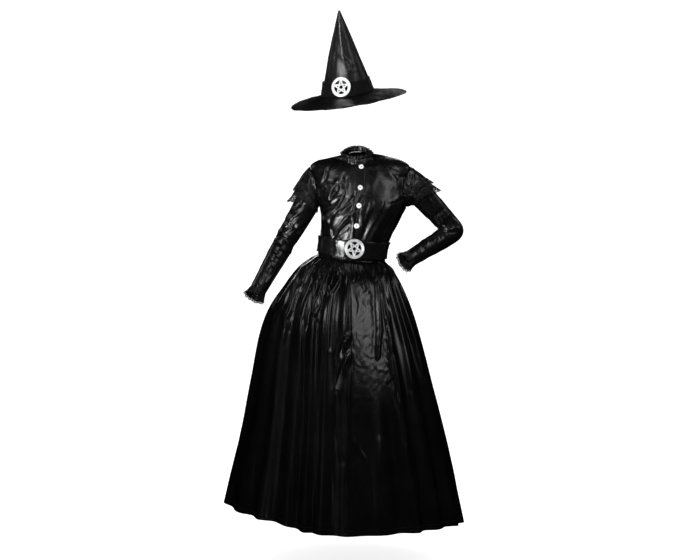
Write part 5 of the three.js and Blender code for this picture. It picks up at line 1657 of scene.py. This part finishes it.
profile = [(0, FLOOR_Z), (WALL_BEND, FLOOR_Z), (WALL_FOOT, FLOOR_Z)]
for turn in np.linspace(0, np.pi / 2, 9)[1:]:
    profile.append((WALL_FOOT + WALL_BEND * math.sin(turn), FLOOR_Z + WALL_BEND * (1 - math.cos(turn))))
profile = np.array(profile + [(WALL_FOOT + WALL_BEND, WALL_TOP)])
around = np.linspace(0, 2 * np.pi, 73)[:, None]
points = np.stack(
    [profile[:, 0] * np.cos(around), profile[:, 0] * np.sin(around), profile[:, 1] + 0 * around], -1
)
index = np.arange(points.shape[0] * points.shape[1]).reshape(points.shape[:2])
faces = np.stack([index[:-1, :-1], index[1:, :-1], index[1:, 1:], index[:-1, 1:]], -1).reshape(-1, 4)
floor = make_object("studio_floor", points.reshape(-1, 3), [faces], stage_material())
floor.visible_glossy = False  # so the black cloth mirrors only the light boxes
floor.visible_diffuse = False

LIGHT_BOXES = [  # name, place, target, size, power, spread in degrees
    ("key_right", (1.62, -1.7, 1.45), (0, 0, -0.5), (0.7, 1.9), 11.5, 180),
    ("front_left", (-0.9, -2.6, 1.9), (0, 0, -0.4), (0.45, 1.0), 12, 180),
    ("side_left", (-1.55, -2.6, -0.9), (-0.05, 0, -0.2), (0.8, 0.9), 2.1, 30),
    ("back_left", (-2.4, 0.9, 1.5), (0, 0, -0.4), (0.8, 1.2), 3.5, 180),
    ("back_right", (2.5, 0.6, 1.2), (0, 0, -0.2), (0.5, 1.0), 2.4, 180),
    ("behind_right", (0.8, 2.6, 1.9), (0, 0, -0.4), (0.6, 1.2), 9, 180),
    ("behind_left", (-0.8, 2.6, 0.3), (0, 0, -0.7), (0.6, 1.4), 7, 180),
    ("hat_light", (-1.3, -2.45, 0.9), (-0.04, 0, 0.42), (0.8, 0.5), 1.7, 32),
]
for name, place, target, size, power, spread in LIGHT_BOXES:
    data = bpy.data.lights.new(name, "AREA")
    data.shape = "RECTANGLE"
    data.size, data.size_y = size
    data.energy = power
    data.spread = math.radians(spread)
    box = bpy.data.objects.new(name, data)
    bpy.context.scene.collection.objects.link(box)
    box.location = place
    box.rotation_euler = (Vector(target) - Vector(place)).to_track_quat("-Z", "Y").to_euler()

world = bpy.data.worlds.new("studio")
world.use_nodes = True
set_sockets(world.node_tree.nodes["Background"], {"Color": (1, 1, 1, 1), "Strength": 0.6})
world.cycles_visibility.camera = False
world.cycles_visibility.glossy = False
bpy.context.scene.world = world
bpy.context.scene.view_settings.view_transform = "Standard"

camera_data = bpy.data.cameras.new("photo_camera")
camera_data.lens = LENS
camera_data.sensor_width = 36
camera_data.clip_end = 40
camera = bpy.data.objects.new("photo_camera", camera_data)
bpy.context.scene.collection.objects.link(camera)
camera.location = EYE * mm
camera.rotation_euler = (math.pi / 2, 0, 0)
bpy.context.scene.camera = camera
